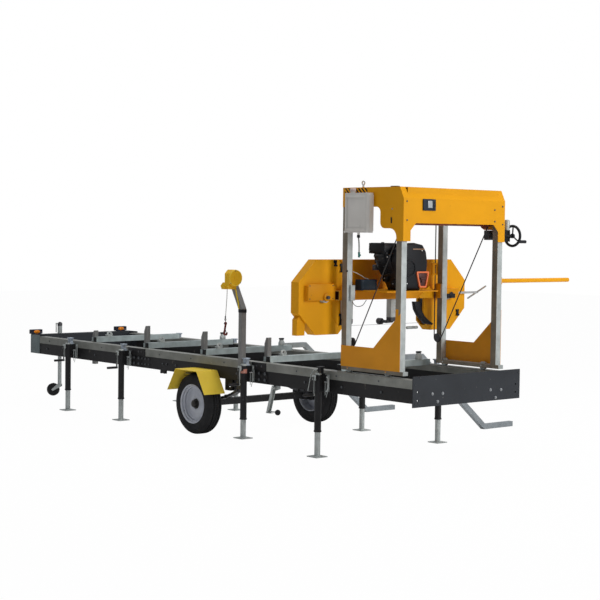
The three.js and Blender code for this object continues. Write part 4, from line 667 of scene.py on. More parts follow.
dress(rail_finish, "near_rail", "far_rail")
dress(charcoal, "near_end_plate")
dress(end_finish, "far_end_frame")
dress(mixed("bunk zinc", (0.37, 0.43, 0.43), 0.42, 0.4, 0.16, 12, (0.5, 0.54, 0.52), 0.14, 45, 260, 0.25),
      *["bunk_%d" % i for i in range(1, 6)])
dress(mixed("ramp zinc", (0.24, 0.265, 0.28), 0.45, 0.3, 0.18, 9, (0.42, 0.45, 0.46), 0.15, 40, 260, 0.25),
      "log_ramp_1", "log_ramp_2")
dress(grey, *["log_stop_%d" % i for i in range(1, 5)])
dress(jack_finish, *["%s_jack_tube_%d" % (s, i) for s in ("near", "far") for i in range(1, 5)])
dress(zinc, *["%s_jack_leg_%d" % (s, i) for s in ("near", "far") for i in range(1, 5)])
dress(axle_finish, "axle")
dress(finish_of("fender yellow", FENDER), "near_fender", "far_fender")
dress(zinc, "jockey_tube", "jockey_leg")
dress(rubber, "jockey_wheel")
dress(davit_finish, "davit_post")
dress(yellow, "push_bar")
dress(mixed("winch yellow", (0.86, 0.5, 0.02), 0.42, 0.0, 0.08, 12, (0.6, 0.36, 0.05), 0.1, 50, 420, 0.3,
    0.15), "davit_winch")
dress(frame_finish, "near_side_frame", "far_side_frame")
dress(mixed("black coated cable", (0.035, 0.033, 0.032), 0.5, 0.2, 0.3, 120, (0.12, 0.11, 0.1), 0.2, 200,
    800, 0.4),
      "near_lift_cable", "far_lift_cable")
dress(hood_finish, "top_hood")
dress(tank_plastic, "water_tank")
dress(head_finish, "head_frame")
dress(finish_of("guard yellow", YELLOW), "near_band_guard", "far_band_guard")
dress(mixed("cast wheel", (0.07, 0.07, 0.075), 0.55, 0.4, 0.25, 15, (0.2, 0.2, 0.2), 0.15, 60, 380, 0.5),
      "near_band_wheel", "far_band_wheel")
dress(mixed("blade steel", (0.42, 0.42, 0.42), 0.28, 0.85, 0.2, 30, (0.18, 0.15, 0.12), 0.15, 60, 500, 0.3),
    "saw_blade")
dress(steel, "tension_screw")
dress(plastic, "lift_handwheel", "engine")
print("dressed", len(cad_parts), "nodes")

# %% [markdown]
# The track is two long channels with a folded zinc strip on top. The sections are joined by plates
# with rows of bolts. Bolts are small, so one good head is modelled and copied; the rows run where
# the plates are.

# %% Bolts along the rails
JOINT_ROWS = (0.585, 0.641)
WEB_LINE, STRIP_LINE = 0.612, 0.7
ON_FACE, ON_PLATE, ON_STRIP, ON_BRACKET = 0.0005, 0.0075, 0.0064, 0.0087


def rail_bolts(name, places, stand_off, size, finish):
    """Bolts on the outer faces of both rails, each at (along the track, height)."""
    for side, sign in SIDES:
        spots = [at(x, sign * (RAIL_FACE + stand_off), z) for x, z in places]
        bolts("%s_%s" % (side, name), spots, (0, sign, 0), size, "track", "zinc", finish)


rows = [(middle + dx, z) for middle in (2.0, 4.0) for dx in (-0.13, -0.05, 0.05, 0.13) for z in JOINT_ROWS]
web = [0.35 + 0.48 * i for i in range(12)]
web = [(x, WEB_LINE) for x in web if all(abs(x - middle) > 0.25 for middle in (2.05, 4.0))]
web += [(x, WEB_LINE) for x in (2.535, 2.6)] + [(x, z) for x in (2.18, 2.236, 2.297) for z in JOINT_ROWS]
strip_row = [(0.4 + 0.52 * i, STRIP_LINE) for i in range(11)]
rail_bolts("joint_bolts", rows, ON_PLATE, 0.011, dull)
rail_bolts("web_bolts", web, ON_FACE, 0.008, dull)
rail_bolts("strip_bolts", strip_row, ON_FACE, 0.006, dull)

# %% End plate bolts
plate_face = 6.0004
left_set = [(-0.426, 0.618), (-0.306, 0.615), (-0.364, 0.551)]
right_set = [(0.276, 0.609), (0.409, 0.603), (0.342, 0.54)]
bolts("end_plate_bolts", [at(plate_face, y, z) for y, z in left_set + right_set], (1, 0, 0), 0.01, "track",
    "zinc", mixed("plate bolts", (0.26, 0.27, 0.28), 0.45, 0.4))
marks = [(-0.622, 0.548), (-0.587, 0.551), (-0.569, 0.756), (0.631, 0.736), (-0.625, 0.7)]
bolts("end_plate_rivets", [at(plate_face, y, z) for y, z in marks], (1, 0, 0), 0.006, "track", "zinc",
    dark_steel, False)
print("track bolts:", 2 * len(rows + web + strip_row) + 6)

# %% [markdown]
# Each bunk is a square tube across the track. On the real machine a clamp bracket with a hole stands
# over its near end, a short dog with a black cap stands near the far rail, and a dark cap closes
# the tube. The bracket is cut as an outline and given a thickness; the others start as blocks.

# %% Bunk brackets, dogs and caps
bunk_stations = [1.144 + 0.964 * i for i in range(5)]
BUNK_TOP = 0.788


def on_bunks(name, piece, body_slot, finish, stations=bunk_stations):
    """The piece, drawn on the centre line, is copied to the stations, joined and handed to the track."""
    piece.location = at(stations[0], 0, 0)
    settled(piece, name)
    fitted(name, copied(piece, [(x - stations[0], 0, 0) for x in stations[1:]]), "track", body_slot, finish)


bracket = outline("bunk_bracket", [(-0.4, BUNK_TOP + 0.0004), (-0.33, BUNK_TOP + 0.0004),
    (-0.322, BUNK_TOP + 0.02),
                                   (-0.335, BUNK_TOP + 0.046), (-0.362, BUNK_TOP + 0.056),
                                       (-0.392, BUNK_TOP + 0.046)],
                  "x", -0.004, 0.004, 0.0012)
hole = rod("hole", (-0.02, -0.362, BUNK_TOP + 0.032), (0.02, -0.362, BUNK_TOP + 0.032), 0.01, 20, 0)
bracket = cut_away(bracket, hole)
foot = block("bracket_foot", (-0.022, -0.4, BUNK_TOP + 0.0003), (0.022, -0.326, BUNK_TOP + 0.0055), 0.0012)
pin = rod("bracket_pin", (-0.026, -0.392, BUNK_TOP + 0.016), (0.026, -0.392, BUNK_TOP + 0.016), 0.0055, 14)
on_bunks("bunk_clamps", joined("bunk_clamps", [bracket, foot, pin]), "galvanised", zinc)

dog_body = block("dog_body", (-0.018, 0.395, BUNK_TOP + 0.0003), (0.018, 0.45, BUNK_TOP + 0.034), 0.003)
pressed(dog_body, looks((0, 0, 1)), 0.005, rise=(0, 0, 0.008))
dog_stem = block("dog_stem", (-0.01, 0.4, BUNK_TOP + 0.03), (0.01, 0.445, BUNK_TOP + 0.058), 0.003)
on_bunks("far_dogs", joined("far_dogs", [dog_body, dog_stem]), "galvanised", zinc, bunk_stations[1:])
dog_cap = block("dog_cap", (-0.014, 0.396, BUNK_TOP + 0.0585), (0.014, 0.449, BUNK_TOP + 0.074), 0.005, 3)
on_bunks("far_dog_caps", dog_cap, "rail_black", plastic, bunk_stations[1:])

end_cap = block("bunk_cap", (-0.0265, -0.5475, 0.7345), (0.0265, -0.5425, 0.7865), 0.0035, 2)
pressed(end_cap, looks((0, -1, 0)), 0.009, rise=(0, 0.0018, 0))
far_cap = copied(end_cap, [(0, 0, 0)])[1]
choose(far_cap)
bpy.ops.transform.mirror(constraint_axis=(False, True, False))
bpy.ops.object.transform_apply(location=True, rotation=True, scale=True)
bpy.ops.object.mode_set(mode="EDIT")
bpy.ops.mesh.select_all(action="SELECT")
bpy.ops.mesh.normals_make_consistent(inside=False)
bpy.ops.object.mode_set(mode="OBJECT")
on_bunks("bunk_caps", joined("bunk_caps", [end_cap, far_cap]), "rail_black", black)
print("bunks dressed:", len(bunk_stations))

# %% Collars and feet of the log stops
STOP_STATIONS = [1.0927, 2.0567, 3.0207, 3.9847]
LOW_STOP, HIGH_STOP, STOP_REACH = 0.854, 0.956, 0.3562
for number, station in enumerate(STOP_STATIONS, 1):
    foot = (LOW_STOP if number == 1 else HIGH_STOP) - STOP_REACH
    collar = block("stop_collar_%d" % number, at(station - 0.03, -0.536, 0.7388),
        at(station + 0.03, -0.4752, 0.744), 0.0015)
    tool = block("tool", at(station - 0.0235, -0.529, 0.72), at(station + 0.0235, -0.482, 0.76), 0)
    handed(cut_away(collar, tool), "track", "zinc", zinc)
    cap = block("stop_foot_%d" % number, at(station - 0.0225, -0.5278, foot),
        at(station + 0.0225, -0.4832, foot + 0.0062), 0.002)
    handed(cap, "stop_%d" % number, "stop_grey", black)
print("log stops dressed: 4")

# %% [markdown]
# The eight jacks carry the track. Each gets a cap and a gear head on top, a clevis pin beside it, a
# ring at the mouth of its tube and a weld bead at the foot. A reflector strip is stuck on one of them.

# %% Jack caps, rings and bracket bolts
jack_stations = [0.9282, 1.941, 3.9288, 4.95]
JACK_Y = 0.74
rings, lids = [], []
for side, sign in SIDES:
    for station in jack_stations:
        middle = at(station, sign * JACK_Y, 0)
        cap = rod("jack_cap", middle + Vector((0, 0, 0.7053)), middle + Vector((0, 0, 0.716)), 0.0305, 28,
            0.003)
        pressed(cap, looks((0, 0, 1)), 0.01, rise=(0, 0, 0.004))
        lids.append(cap)
        ring = [(0.0262, 0), (0.0335, 0), (0.0335, 0.012), (0.03, 0.015), (0.0262, 0.015)]
        rings.append(turned("jack_ring", ring, middle + Vector((0, 0, 0.2152)), "z", 32))
fitted("jack_caps", lids, "track", "zinc", zinc)
fitted("jack_lower_rings", rings, "track", "jack_black", black)
bracket_rows = [(x + dx, z) for x in jack_stations for dx in (-0.033, 0.033) for z in (0.58, 0.685)]
rail_bolts("bracket_bolts", bracket_rows, ON_BRACKET, 0.008, zinc)

# %% Weld beads round the feet
SHORT_LEG, SHORT_LEG_RISE = ("near", 3), 0.043
bead_line = [(0.0258, 0.0084), (0.0305, 0.0084), (0.0285, 0.0106), (0.0258, 0.0114)]
for side, sign in SIDES:
    for number, station in enumerate(jack_stations, 1):
        rise = SHORT_LEG_RISE if (side, number) == SHORT_LEG else 0.0
        bead = turned("%s_foot_weld_%d" % (side, number), bead_line, at(station, sign * JACK_Y, rise), "z",
            28)
        handed(bead, "%s_leg_%d" % (side, number), "zinc", zinc)
print("jacks dressed: 8")

# %% Jack gear heads, clevis pins and a reflector
bluish = mixed("bluish zinc", (0.33, 0.38, 0.44), 0.45, 0.2, 0.2, 25, (0.5, 0.55, 0.6), 0.15, 60, 300, 0.25)
for side, sign in SIDES:
    heads, pins_and_rings = [], []
    for index, station in enumerate(jack_stations):
        centre = at(station, sign * 0.712, 0)
        lid = block("gear_lid", centre + Vector((-0.027, -0.027, 0.762)),
            centre + Vector((0.027, 0.027, 0.775)), 0.003)
        neck = block("gear_neck", centre + Vector((-0.019, -0.019, 0.7185)),
            centre + Vector((0.019, 0.019, 0.763)), 0.003)
        pressed(neck, lambda f: abs(f.normal.z) < 0.1 and f.calc_area() > 0.0008, 0.005, -0.003, each=True)
        base = block("gear_base", centre + Vector((-0.026, -0.022, 0.7055)),
            centre + Vector((0.026, 0.026 if sign < 0 else 0.022, 0.719)), 0.002)
        stub = rod("gear_stub", centre + Vector((-0.03, sign * 0.006, 0.742)),
            centre + Vector((-0.018, sign * 0.006, 0.742)), 0.01, 18, 0.002)
        heads += [lid, neck, base, stub]
        y = sign * 0.695
        loop = [at(station + 0.04, y, 0.53), at(station + 0.04, y, 0.64), at(station + 0.044, y, 0.648),
                at(station + 0.066, y, 0.648), at(station + 0.07, y, 0.64), at(station + 0.07, y, 0.56),
                    at(station + 0.055, y, 0.515)]
        pins_and_rings.append(wire("clevis", loop, 0.0028, 3))
        pins_and_rings.append(rod("clevis_bolt", at(station + 0.03, y, 0.644), at(station + 0.078, y, 0.644),
            0.0045, 12))
        if (side, index) == ("near", 3):
            fitted("near_black_gear_head", heads[-4:], "track", "zinc", black)
            heads = heads[:-4]
    fitted(side + "_gear_heads", heads, "track", "zinc", bluish)
    fitted(side + "_clevis_pins", pins_and_rings, "track", "zinc", zinc)
patch = turned("jack_reflector", [(0.0302, 0), (0.0312, 0), (0.0312, 0.038), (0.0302, 0.038)],
    at(jack_stations[2], -JACK_Y, 0.638), "z", 40)
handed(patch, "track", "jack_black", mixed("faded reflector", (0.5, 0.21, 0.16), 0.35, 0.0, 0.25, 60,
    (0.55, 0.45, 0.4), 0.35, 90, 500, 0.2))
print("gear heads: 8")

# %% Joint strips over the zinc, and a lug
for side, sign in SIDES:
    face = sign * (RAIL_FACE + 0.0003)
    plates = [block("joint_strip", at(low + 0.03, face, 0.668), at(high, face + sign * 0.006, 0.7375), 0.0015)
              for low, high in JOINT_SPANS]
    fitted(side + "_joint_strips", plates, "track", "rail_black",
        finish_of(side + " joint strip", RAIL_BLACK))
rail_bolts("strip_joint_bolts", [(x, 0.704) for x in (1.998, 2.124, 2.175, 4.01, 4.08)], ON_STRIP, 0.008,
    dark_steel)
lug_line = [(2.49, 0.5475), (2.566, 0.5475), (2.566, 0.516), (2.546, 0.516), (2.538, 0.527), (2.519, 0.527),
            (2.511, 0.516), (2.49, 0.516)]
lug = plate("rail_lug", lug_line, "y", -0.648, -0.618, 0.002)
handed(lug, "track", "rail_black", finish_of("lug black", RAIL_BLACK))
print("joint strips: 4, rail lugs: 1")

# %% Cover plates, crank rod and tube handle
for side, sign in SIDES:
    cover = block(side + "_cross_cover", at(0.001, sign * 0.6503, 0.549), at(0.19, sign * 0.6538, 0.7525),
        0.001)
    handed(cover, "track", "galvanised", teal)
crank = [at(*p) for p in ((4.905, -0.722, 0.742), (4.88, -0.73, 0.742), (4.868, -0.752, 0.7),
    (4.852, -0.77, 0.56))]
handed(wire("near_crank_rod", crank, 0.0035, 3), "track", "zinc", zinc)
handle = [(5.012, -0.7, 0.69), (5.04, -0.706, 0.672), (5.052, -0.712, 0.63), (5.046, -0.716, 0.59),
    (5.026, -0.716, 0.565)]
handed(wire("near_tube_handle", smooth_path([at(*p) for p in handle], 4), 0.0055, 3), "track", "zinc", zinc)
print("cross covers: 2")

# %% [markdown]
# A road wheel is a tyre, a pressed steel rim and a hub. The tyre and the rim are profiles spun round
# the axle, because every cut through them is the same. The tread is then cut block by block: the
# faces of the tread ring are inset one by one and pushed in, which leaves a net of ribs standing.

# %% Tyre
WHEEL_X, WHEEL_Y, WHEEL_Z = 3.24, 0.7315, 0.295
half = [(0.177, 0.0755), (0.186, 0.076), (0.2, 0.0772), (0.222, 0.0775), (0.246, 0.0755), (0.262, 0.07),
        (0.273, 0.064), (0.281, 0.056), (0.285, 0.045), (0.2862, 0.033), (0.2805, 0.0322), (0.2805, 0.0278),
        (0.2866, 0.027), (0.287, 0.005)]
section = half + [(r, -y) for r, y in half[::-1]] + [(0.172, -0.06), (0.172, 0.06)]
TREAD_RADIUS, TREAD_AREA = 0.283, 0.00015


def tread(face):
    """True for the faces of the tread ring that are large enough to be pushed in."""
    middle = face.calc_center_median()
    return Vector((middle.x, middle.z)).length > TREAD_RADIUS and face.calc_area() > TREAD_AREA


tyre = turned("tyre", section, (0, 0, 0), "y", 90)
pressed(tyre, tread, 0.0026, -0.0045, each=True)
print("tyre faces", len(tyre.data.polygons))

# %% Rim, bolts and hub
dish = [(0.1715, 0.07), (0.1765, 0.076), (0.1835, 0.079), (0.186, 0.0765), (0.18, 0.07), (0.176, 0.056),
        (0.16, 0.048), (0.157, 0.03), (0.132, 0.024), (0.098, 0.031), (0.066, 0.036), (0.05, 0.033),
        (0.048, 0.027), (0.07, 0.027), (0.1, 0.024), (0.132, 0.018), (0.153, 0.019), (0.156, -0.06),
        (0.165, -0.074), (0.17, -0.074)]
rim = turned("rim", dish, (0, 0, 0), "y", 72)
studs = []
for i in range(5):
    turn_by = 2 * math.pi * i / 5 + 0.3
    place = Vector((0.07 * math.cos(turn_by), 0.035, 0.07 * math.sin(turn_by)))
    studs.append(rod("nut", place, place + Vector((0, 0.017, 0)), 0.0105, 6, 0.002))
    studs.append(rod("nut_seat", place - Vector((0, 0.002, 0)), place + Vector((0, 0.003, 0)), 0.014, 16,
        0.001))
nuts = joined("nuts", studs)
cap = turned("hub_cap", [(0, 0.07), (0.022, 0.069), (0.033, 0.064), (0.036, 0.056), (0.036, 0.034),
    (0.046, 0.03),
                         (0.048, 0.02), (0, 0.02)], (0, 0, 0), "y", 40)
drum = turned("hub_drum", [(0.023, -0.088), (0.045, -0.088), (0.06, -0.07), (0.06, 0.022), (0.023, 0.022)],
    (0, 0, 0), "y", 40)
print("rim faces", len(rim.data.polygons))

# %% Two wheels on the axle
hub_paint = mixed("hub paint", (0.03, 0.028, 0.026), 0.4, 0.3, 0.2, 30, (0.25, 0.22, 0.18), 0.2, 60, 400, 0.4)
tread_rubber = mixed("road tyre rubber", (0.016, 0.016, 0.017), 0.8, 0.0, 0.3, 9, (0.07, 0.063, 0.055), 0.22,
    26, 200, 0.6)
for side, sign in SIDES:
    for source, name, finish in ((tyre, "tyre", tread_rubber), (rim, "rim", rim_paint),
            (nuts, "wheel_nuts", steel),
                                 (cap, "hub_cap", hub_paint), (drum, "brake_hub", black)):
        twin = copied(source, [(0, 0, 0)])[1]
        if sign < 0:
            twin.rotation_euler = (0, 0, math.pi)
        twin.location = at(WHEEL_X, sign * WHEEL_Y, WHEEL_Z)
        settled(twin, "%s_%s" % (side, name))
        handed(twin, side + "_wheel", "road_wheel", finish, 30)
        if name == "tyre":
            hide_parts(side + "_road_wheel")
for source in (tyre, rim, nuts, cap, drum):
    bpy.data.objects.remove(source)
print("wheels on the axle: 2")

# %% [markdown]
# Below the rail hang the springs. Clips and a pad hold their leaves, a pair of U-bolts ties them to
# the axle, and a hanger with a slot in it stands at one end. The lever with the ball knob hangs from
# the near rail.

# %% Spring clips, U-bolts and hangers
U_BEND = [(-0.037, 0.255), (-0.037, 0.345), (-0.03, 0.355), (0.03, 0.355), (0.037, 0.345), (0.037, 0.255)]
for side, sign in SIDES:
    y = sign * 0.586
    parts = [wire("u_bolt", [at(WHEEL_X + dx, y + dy, z) for dy, z in U_BEND], 0.006, 4) for dx in (-0.045,
        0.045)]
    parts.append(block("spring_pad", at(WHEEL_X - 0.06, y - 0.045, 0.256),
        at(WHEEL_X + 0.06, y + 0.045, 0.2645), 0.002))
    for dx in (-0.26, 0.26):
        z = 0.337 + 0.11 * (dx / 0.43) ** 2
        parts.append(block("spring_clip", at(WHEEL_X + dx - 0.012, y - 0.034, z - 0.017),
            at(WHEEL_X + dx + 0.012, y + 0.034, z + 0.017), 0.003))
    fitted(side + "_spring_clips", parts, "track", "axle_black", black)
    y = sign * 0.609
    shape = [(3.504, 0.439), (3.6, 0.439), (3.614, 0.462), (3.614, 0.5475), (3.504, 0.5475)]
    plates = []
    for low in (y - 0.014, y + 0.01):
        hanger = plate("hanger", shape, "y", low, low + 0.004, 0.001)
        plates.append(cut_away(hanger, block("tool", at(3.532, low - 0.02, 0.47),
            at(3.586, low + 0.02, 0.486), 0)))
    plates.append(rod("hanger_pin", at(3.6, y - 0.02, 0.515), at(3.6, y + 0.02, 0.515), 0.007, 16, 0.002))
    fitted(side + "_spring_hangers", plates, "track", "axle_black", black)
print("springs dressed: 2")

# %% Hanging lever with a ball knob
web = [(4.245, 0.5475), (4.268, 0.5475), (4.192, 0.298), (4.169, 0.298)]
lip = [(4.245, 0.5475), (4.249, 0.5475), (4.173, 0.298), (4.169, 0.298)]
sides = [plate("lever_side", web, "y", y, y + 0.004, 0.001) for y in (-0.67, -0.634)]
back = plate("lever_back", lip, "y", -0.6655, -0.6345, 0.001)
lug = plate("lever_lug", [(4.243, 0.5475), (4.32, 0.5475), (4.32, 0.52), (4.262, 0.5), (4.236, 0.515)], "y",
    -0.6335, -0.629, 0.001)
floor_lip = block("lever_lip", at(4.166, -0.672, 0.2935), at(4.225, -0.628, 0.2978), 0.001)
toe = rod("toe", at(4.18, -0.65, 0.31), at(4.29, -0.65, 0.31), 0.0055, 14)
bolt_head = rod("lever_bolt", at(4.256, -0.678, 0.525), at(4.256, -0.626, 0.525), 0.01, 6)
fitted("drawbar_lever", sides + [back, lug, floor_lip, toe, bolt_head], "track", "zinc", zinc)
drop_selection()
bpy.ops.mesh.primitive_uv_sphere_add(segments=28, ring_count=18, radius=0.026,
    location=at(4.309, -0.65, 0.31))
knob = settled(bpy.context.object, "drawbar_knob")
pick(knob, lambda f: f.normal.dot(Vector((-1, 0, 0))) > 0.93)
bpy.ops.mesh.extrude_region_move(TRANSFORM_OT_translate={"value": (-0.006, 0, 0)})
bpy.ops.object.mode_set(mode="OBJECT")
handed(knob, "track", "axle_black", plastic, 60)

# %% Mudguard edges and stays
edge_line = [(2.9492, 0.4115), (3.074, 0.617), (3.406, 0.617), (3.5308, 0.4115)]
for side, sign in SIDES:
    edge = wire(side + "_fender_edge", [at(x, sign * 0.8845, z) for x, z in edge_line], 0.0032, 3)
    handed(edge, "track", "fender_yellow", finish_of(side + " fender edge", FENDER))
    stay = block(side + "_fender_stay", at(3.2, sign * 0.652, 0.585), at(3.28, sign * 0.87, 0.5905), 0.002)
    handed(stay, "track", "axle_black", black)
bolts("fender_bolts", [at(x, -0.6485, 0.6035) for x in (3.1, 3.24, 3.38)], (0, -1, 0), 0.007, "track",
    "zinc", zinc)
print("mudguards dressed: 2")

# %% Lamps on the far end
for side, low, high in (("near", -0.669, -0.524), ("far", 0.449, 0.602)):
    middle = (low + high) / 2
    body = block("lamp_body", at(-0.008, low, 0.7575), at(0.04, high, 0.806), 0.006, 3)
    pressed(body, lambda f: abs(f.normal.x) > 0.9, 0.006, -0.003, each=True)
    foot = block("lamp_foot", at(0.0, middle - 0.05, 0.7532), at(0.052, middle + 0.05, 0.7575), 0.001)
    fitted(side + "_lamp", [body, foot], "track", "jack_black",
           mixed(side + " lamp case", (0.012, 0.015, 0.03), 0.35))
    dome = turned("dome", [(0, 0.046), (0.014, 0.045), (0.028, 0.042), (0.036, 0.037), (0.038, 0.0372),
        (0, 0.0372)],
                  at(0, middle, 0.781), "x", 36)
    lens = block("lens", at(-0.0125, middle - 0.05, 0.762), at(-0.0045, middle + 0.05, 0.799), 0.003, 3)
    for piece in (dome, lens):
        piece.scale = (1, 1, 0.6 if piece is dome else 1)
        piece.location = (0, 0, 0.781 * 0.4 if piece is dome else 0)
        settled(piece, piece.name)
    fitted(side + "_lamp_lens", [dome, lens], "track", "winch_yellow", amber)
print("lamps: 2")

# %% Jockey cap and davit strap
cap = turned("jockey_cap", [(0, 0.014), (0.01, 0.012), (0.02, 0.006), (0.0255, -0.002), (0.0275, -0.006),
    (0.0275, -0.03), (0.0265, -0.03), (0.0265, 0.0005), (0, 0.0005)],
             at(-0.062, -0.24, 0.8622), "z", 32)
handed(cap, "track", "galvanised", dark_steel)
band = block("davit_band", at(3.812, -0.72, 1.183), at(3.8685, -0.664, 1.212), 0.002)
tool = block("tool", at(3.8147, -0.7173, 1.17), at(3.8653, -0.6667, 1.23), 0)
band = cut_away(band, tool)
tongue = block("davit_tongue", at(3.869, -0.718, 1.185), at(3.893, -0.705, 1.21), 0.003)
fitted("davit_band", [band, tongue], "davit", "davit_grey", plastic)
strap = plate("winch_strap", [(3.776, 1.408), (3.764, 1.402), (3.779, 1.34), (3.806, 1.268), (3.815, 1.213),
    (3.83, 1.213), (3.821, 1.272), (3.793, 1.346)],
              "y", -0.7215, -0.718, 0.001)
handed(strap, "davit", "winch_yellow", mixed("strap yellow", (0.85, 0.6, 0.03), 0.6, 0.0, 0.1, 20))
gear_studs = [at(3.8003, y, z) for y, z in ((-0.8, 1.45), (-0.69, 1.452), (-0.745, 1.562))]
bolts("winch_screws", gear_studs, (1, 0, 0), 0.005, "davit", "winch_yellow", dark_steel, False)
rim_step = turned("winch_rim", [(0.0665, 0.0003), (0.0735, 0.0003), (0.0735, 0.003), (0.0665, 0.003)],
    at(3.8, -0.7433, 1.4973), "x", 56)
handed(rim_step, "davit", "winch_yellow", finish_of("winch rim", FENDER))
print("jockey and davit dressed")

# %% [markdown]
# The engine is a petrol engine in black covers. It is built from the parts a mechanic would name: a
# finned crankcase and cylinders, a fan shroud with an orange frame round the recoil starter, a big
# air cleaner box on top, a fuel tank hump and a silencer behind. Each starts as a primitive and is
# shaped by insets, bevels and cuts, with the fins set in a row along each cylinder.

# %% Engine block and fins
ENGINE_Y = -0.15
DECK = 1.4345


def deck(x, y, rise):
    """A place above the plate that carries the engine."""
    return at(x, y, DECK + rise)


SLANT = [(-0.168, 0.0), (-0.24, 0.13), (-0.262, 0.165)]
case = plate("crankcase", [(0.02, DECK), (0.03, DECK + 0.165)] + [(y, DECK + z) for y, z in SLANT[::-1]],
    "x", 5.19, 5.4, 0.012)
pressed(case, looks((1, 0, 0)), 0.03, 0.008)
foot_bars = [block("engine_foot", at(x, -0.172, DECK - 0.0002), deck(x + 0.03, 0.043, 0.016),
    0.003) for x in (5.195, 5.345)]
fins = []
for side in (-1, 1):
    base = deck(5.262, ENGINE_Y + side * 0.07, 0.14)
    along = Vector((0, side * 0.62, 1)).normalized()
    barrel = rod("barrel", base, base + along * 0.19, 0.05, 28, 0.004)
    fins.append(barrel)
    for i in range(9):
        low = base + along * (0.03 + 0.0155 * i)
        fins.append(rod("fin", low, low + along * 0.0042, 0.07 if i < 7 else 0.062, 28, 0.0012))
    head = rod("head", base + along * 0.178, base + along * 0.212, 0.052, 8, 0.006)
    fins.append(head)
    plug = base + along * 0.2 + Vector((0.05, 0, 0))
    fins.append(rod("spark_plug", plug, plug + Vector((0.035, 0, 0.008)), 0.011, 14, 0.003))
block_piece = joined("engine_block", [case] + foot_bars + fins)
handed(block_piece, "head", "engine_black", mixed("engine black", (0.02, 0.02, 0.021), 0.45, 0.1, 0.3, 20,
    (0.1, 0.1, 0.1), 0.25, 60, 500, 0.5))
print("engine block faces", len(block_piece.data.polygons))

# %% Fan shroud and recoil starter
profile = [(-0.18, 0.01), (-0.046, 0.01), (0.02, 0.07), (0.052, 0.15), (0.06, 0.24), (0.044, 0.33),
    (0.0, 0.39), (-0.1, 0.407),
           (-0.22, 0.396), (-0.29, 0.35), (-0.306, 0.24), (-0.262, 0.13)]
shroud = plate("shroud", [(y, DECK + z) for y, z in profile], "x", 5.372, 5.448, 0)
rounded(shroud, 0.012, 3)
pressed(shroud, looks((1, 0, 0), 0.99), 0.03, 0.006)
fan_centre = deck(5.448, -0.165, 0.19)
ring = turned("fan_ring", [(0.062, 0.004), (0.072, 0.004), (0.075, 0.009), (0.072, 0.014), (0.062, 0.014)],
    fan_centre, "x", 48)
bars = []
for i in range(5):
    rise = (i - 2) * 0.024
    half = math.sqrt(0.066 ** 2 - rise ** 2)
    bars.append(block("fan_bar", fan_centre + Vector((0.002, -half, rise - 0.0045)),
        fan_centre + Vector((0.011, half, rise + 0.0045)), 0.002))
ridges = [block("ridge", deck(5.38, -0.285 + 0.016 * i, 0.305 + 0.022 * i),
    deck(5.4535, 0.022 - 0.014 * i, 0.312 + 0.022 * i), 0.003)
          for i in range(3)]
fitted("fan_shroud", [shroud, ring] + bars + ridges, "head", "engine_black", plastic, 40)

# %% Starter frame and stripe
frame_line = [(-0.084, 1.598), (0.06, 1.597), (0.062, 1.58), (0.033, 1.464), (0.024, 1.458), (-0.044, 1.458),
    (-0.053, 1.466), (-0.087, 1.582)]
starter = plate("starter_frame", frame_line, "x", 5.4495, 5.4665, 0.003)
inner = [(-0.012 + (y + 0.012) * 0.76, 1.529 + (z - 1.529) * 0.8) for y, z in frame_line]
tool = plate("tool", inner, "x", 5.44, 5.48, 0)
starter = cut_away(starter, tool)
handed(starter, "head", "engine_black", signal)
starter_back = plate("starter_back", inner, "x", 5.4485, 5.456, 0.001)
grip = rod("starter_grip", at(5.466, -0.045, 1.535), at(5.466, 0.018, 1.535), 0.009, 16, 0.003)
grip_stem = block("grip_stem", at(5.455, -0.022, 1.5), at(5.465, -0.004, 1.533), 0.002)
fitted("recoil_starter", [starter_back, grip, grip_stem], "head", "engine_black",
    mixed("starter red-brown", (0.09, 0.035, 0.03), 0.45, 0.1, 0.2, 30, (0.2, 0.18, 0.16), 0.2, 80, 400, 0.3))
stripe = block("shroud_stripe", at(5.4485, -0.125, 1.784), at(5.455, 0.015, 1.7925), 0.0015)
handed(stripe, "head", "engine_black", mixed("stripe tan", (0.34, 0.2, 0.12), 0.45))

# %% Air cleaner, fuel tank and silencer
cleaner = block("air_cleaner", at(5.14, -0.349, 1.745), at(5.33, -0.2, 1.838), 0.014, 3)
pressed(cleaner, lambda f: f.normal.x > 0.9 or f.normal.y < -0.9, 0.012, 0.003, each=True)
seam = block("cleaner_seam", at(5.138, -0.3505, 1.78), at(5.332, -0.198, 1.7835), 0.001)
knob = rod("cleaner_knob", at(5.235, -0.275, 1.836), at(5.235, -0.275, 1.8445), 0.014, 8, 0.003)
duct = rod("cleaner_duct", at(5.235, -0.23, 1.64), at(5.235, -0.255, 1.75), 0.03, 24, 0.003)
fitted("air_cleaner", [cleaner, seam, knob, duct], "head", "engine_black", plastic)

tank = block("fuel_tank", at(5.15, -0.15, 1.7), at(5.4, 0.044, 1.826), 0.03, 4)
pressed(tank, looks((0, 0, 1)), 0.03, 0.004)
lid = rod("tank_lid", at(5.23, -0.06, 1.828), at(5.23, -0.06, 1.8448), 0.028, 10, 0.004)
fitted("fuel_tank", [tank, lid], "head", "engine_black", plastic, 50)

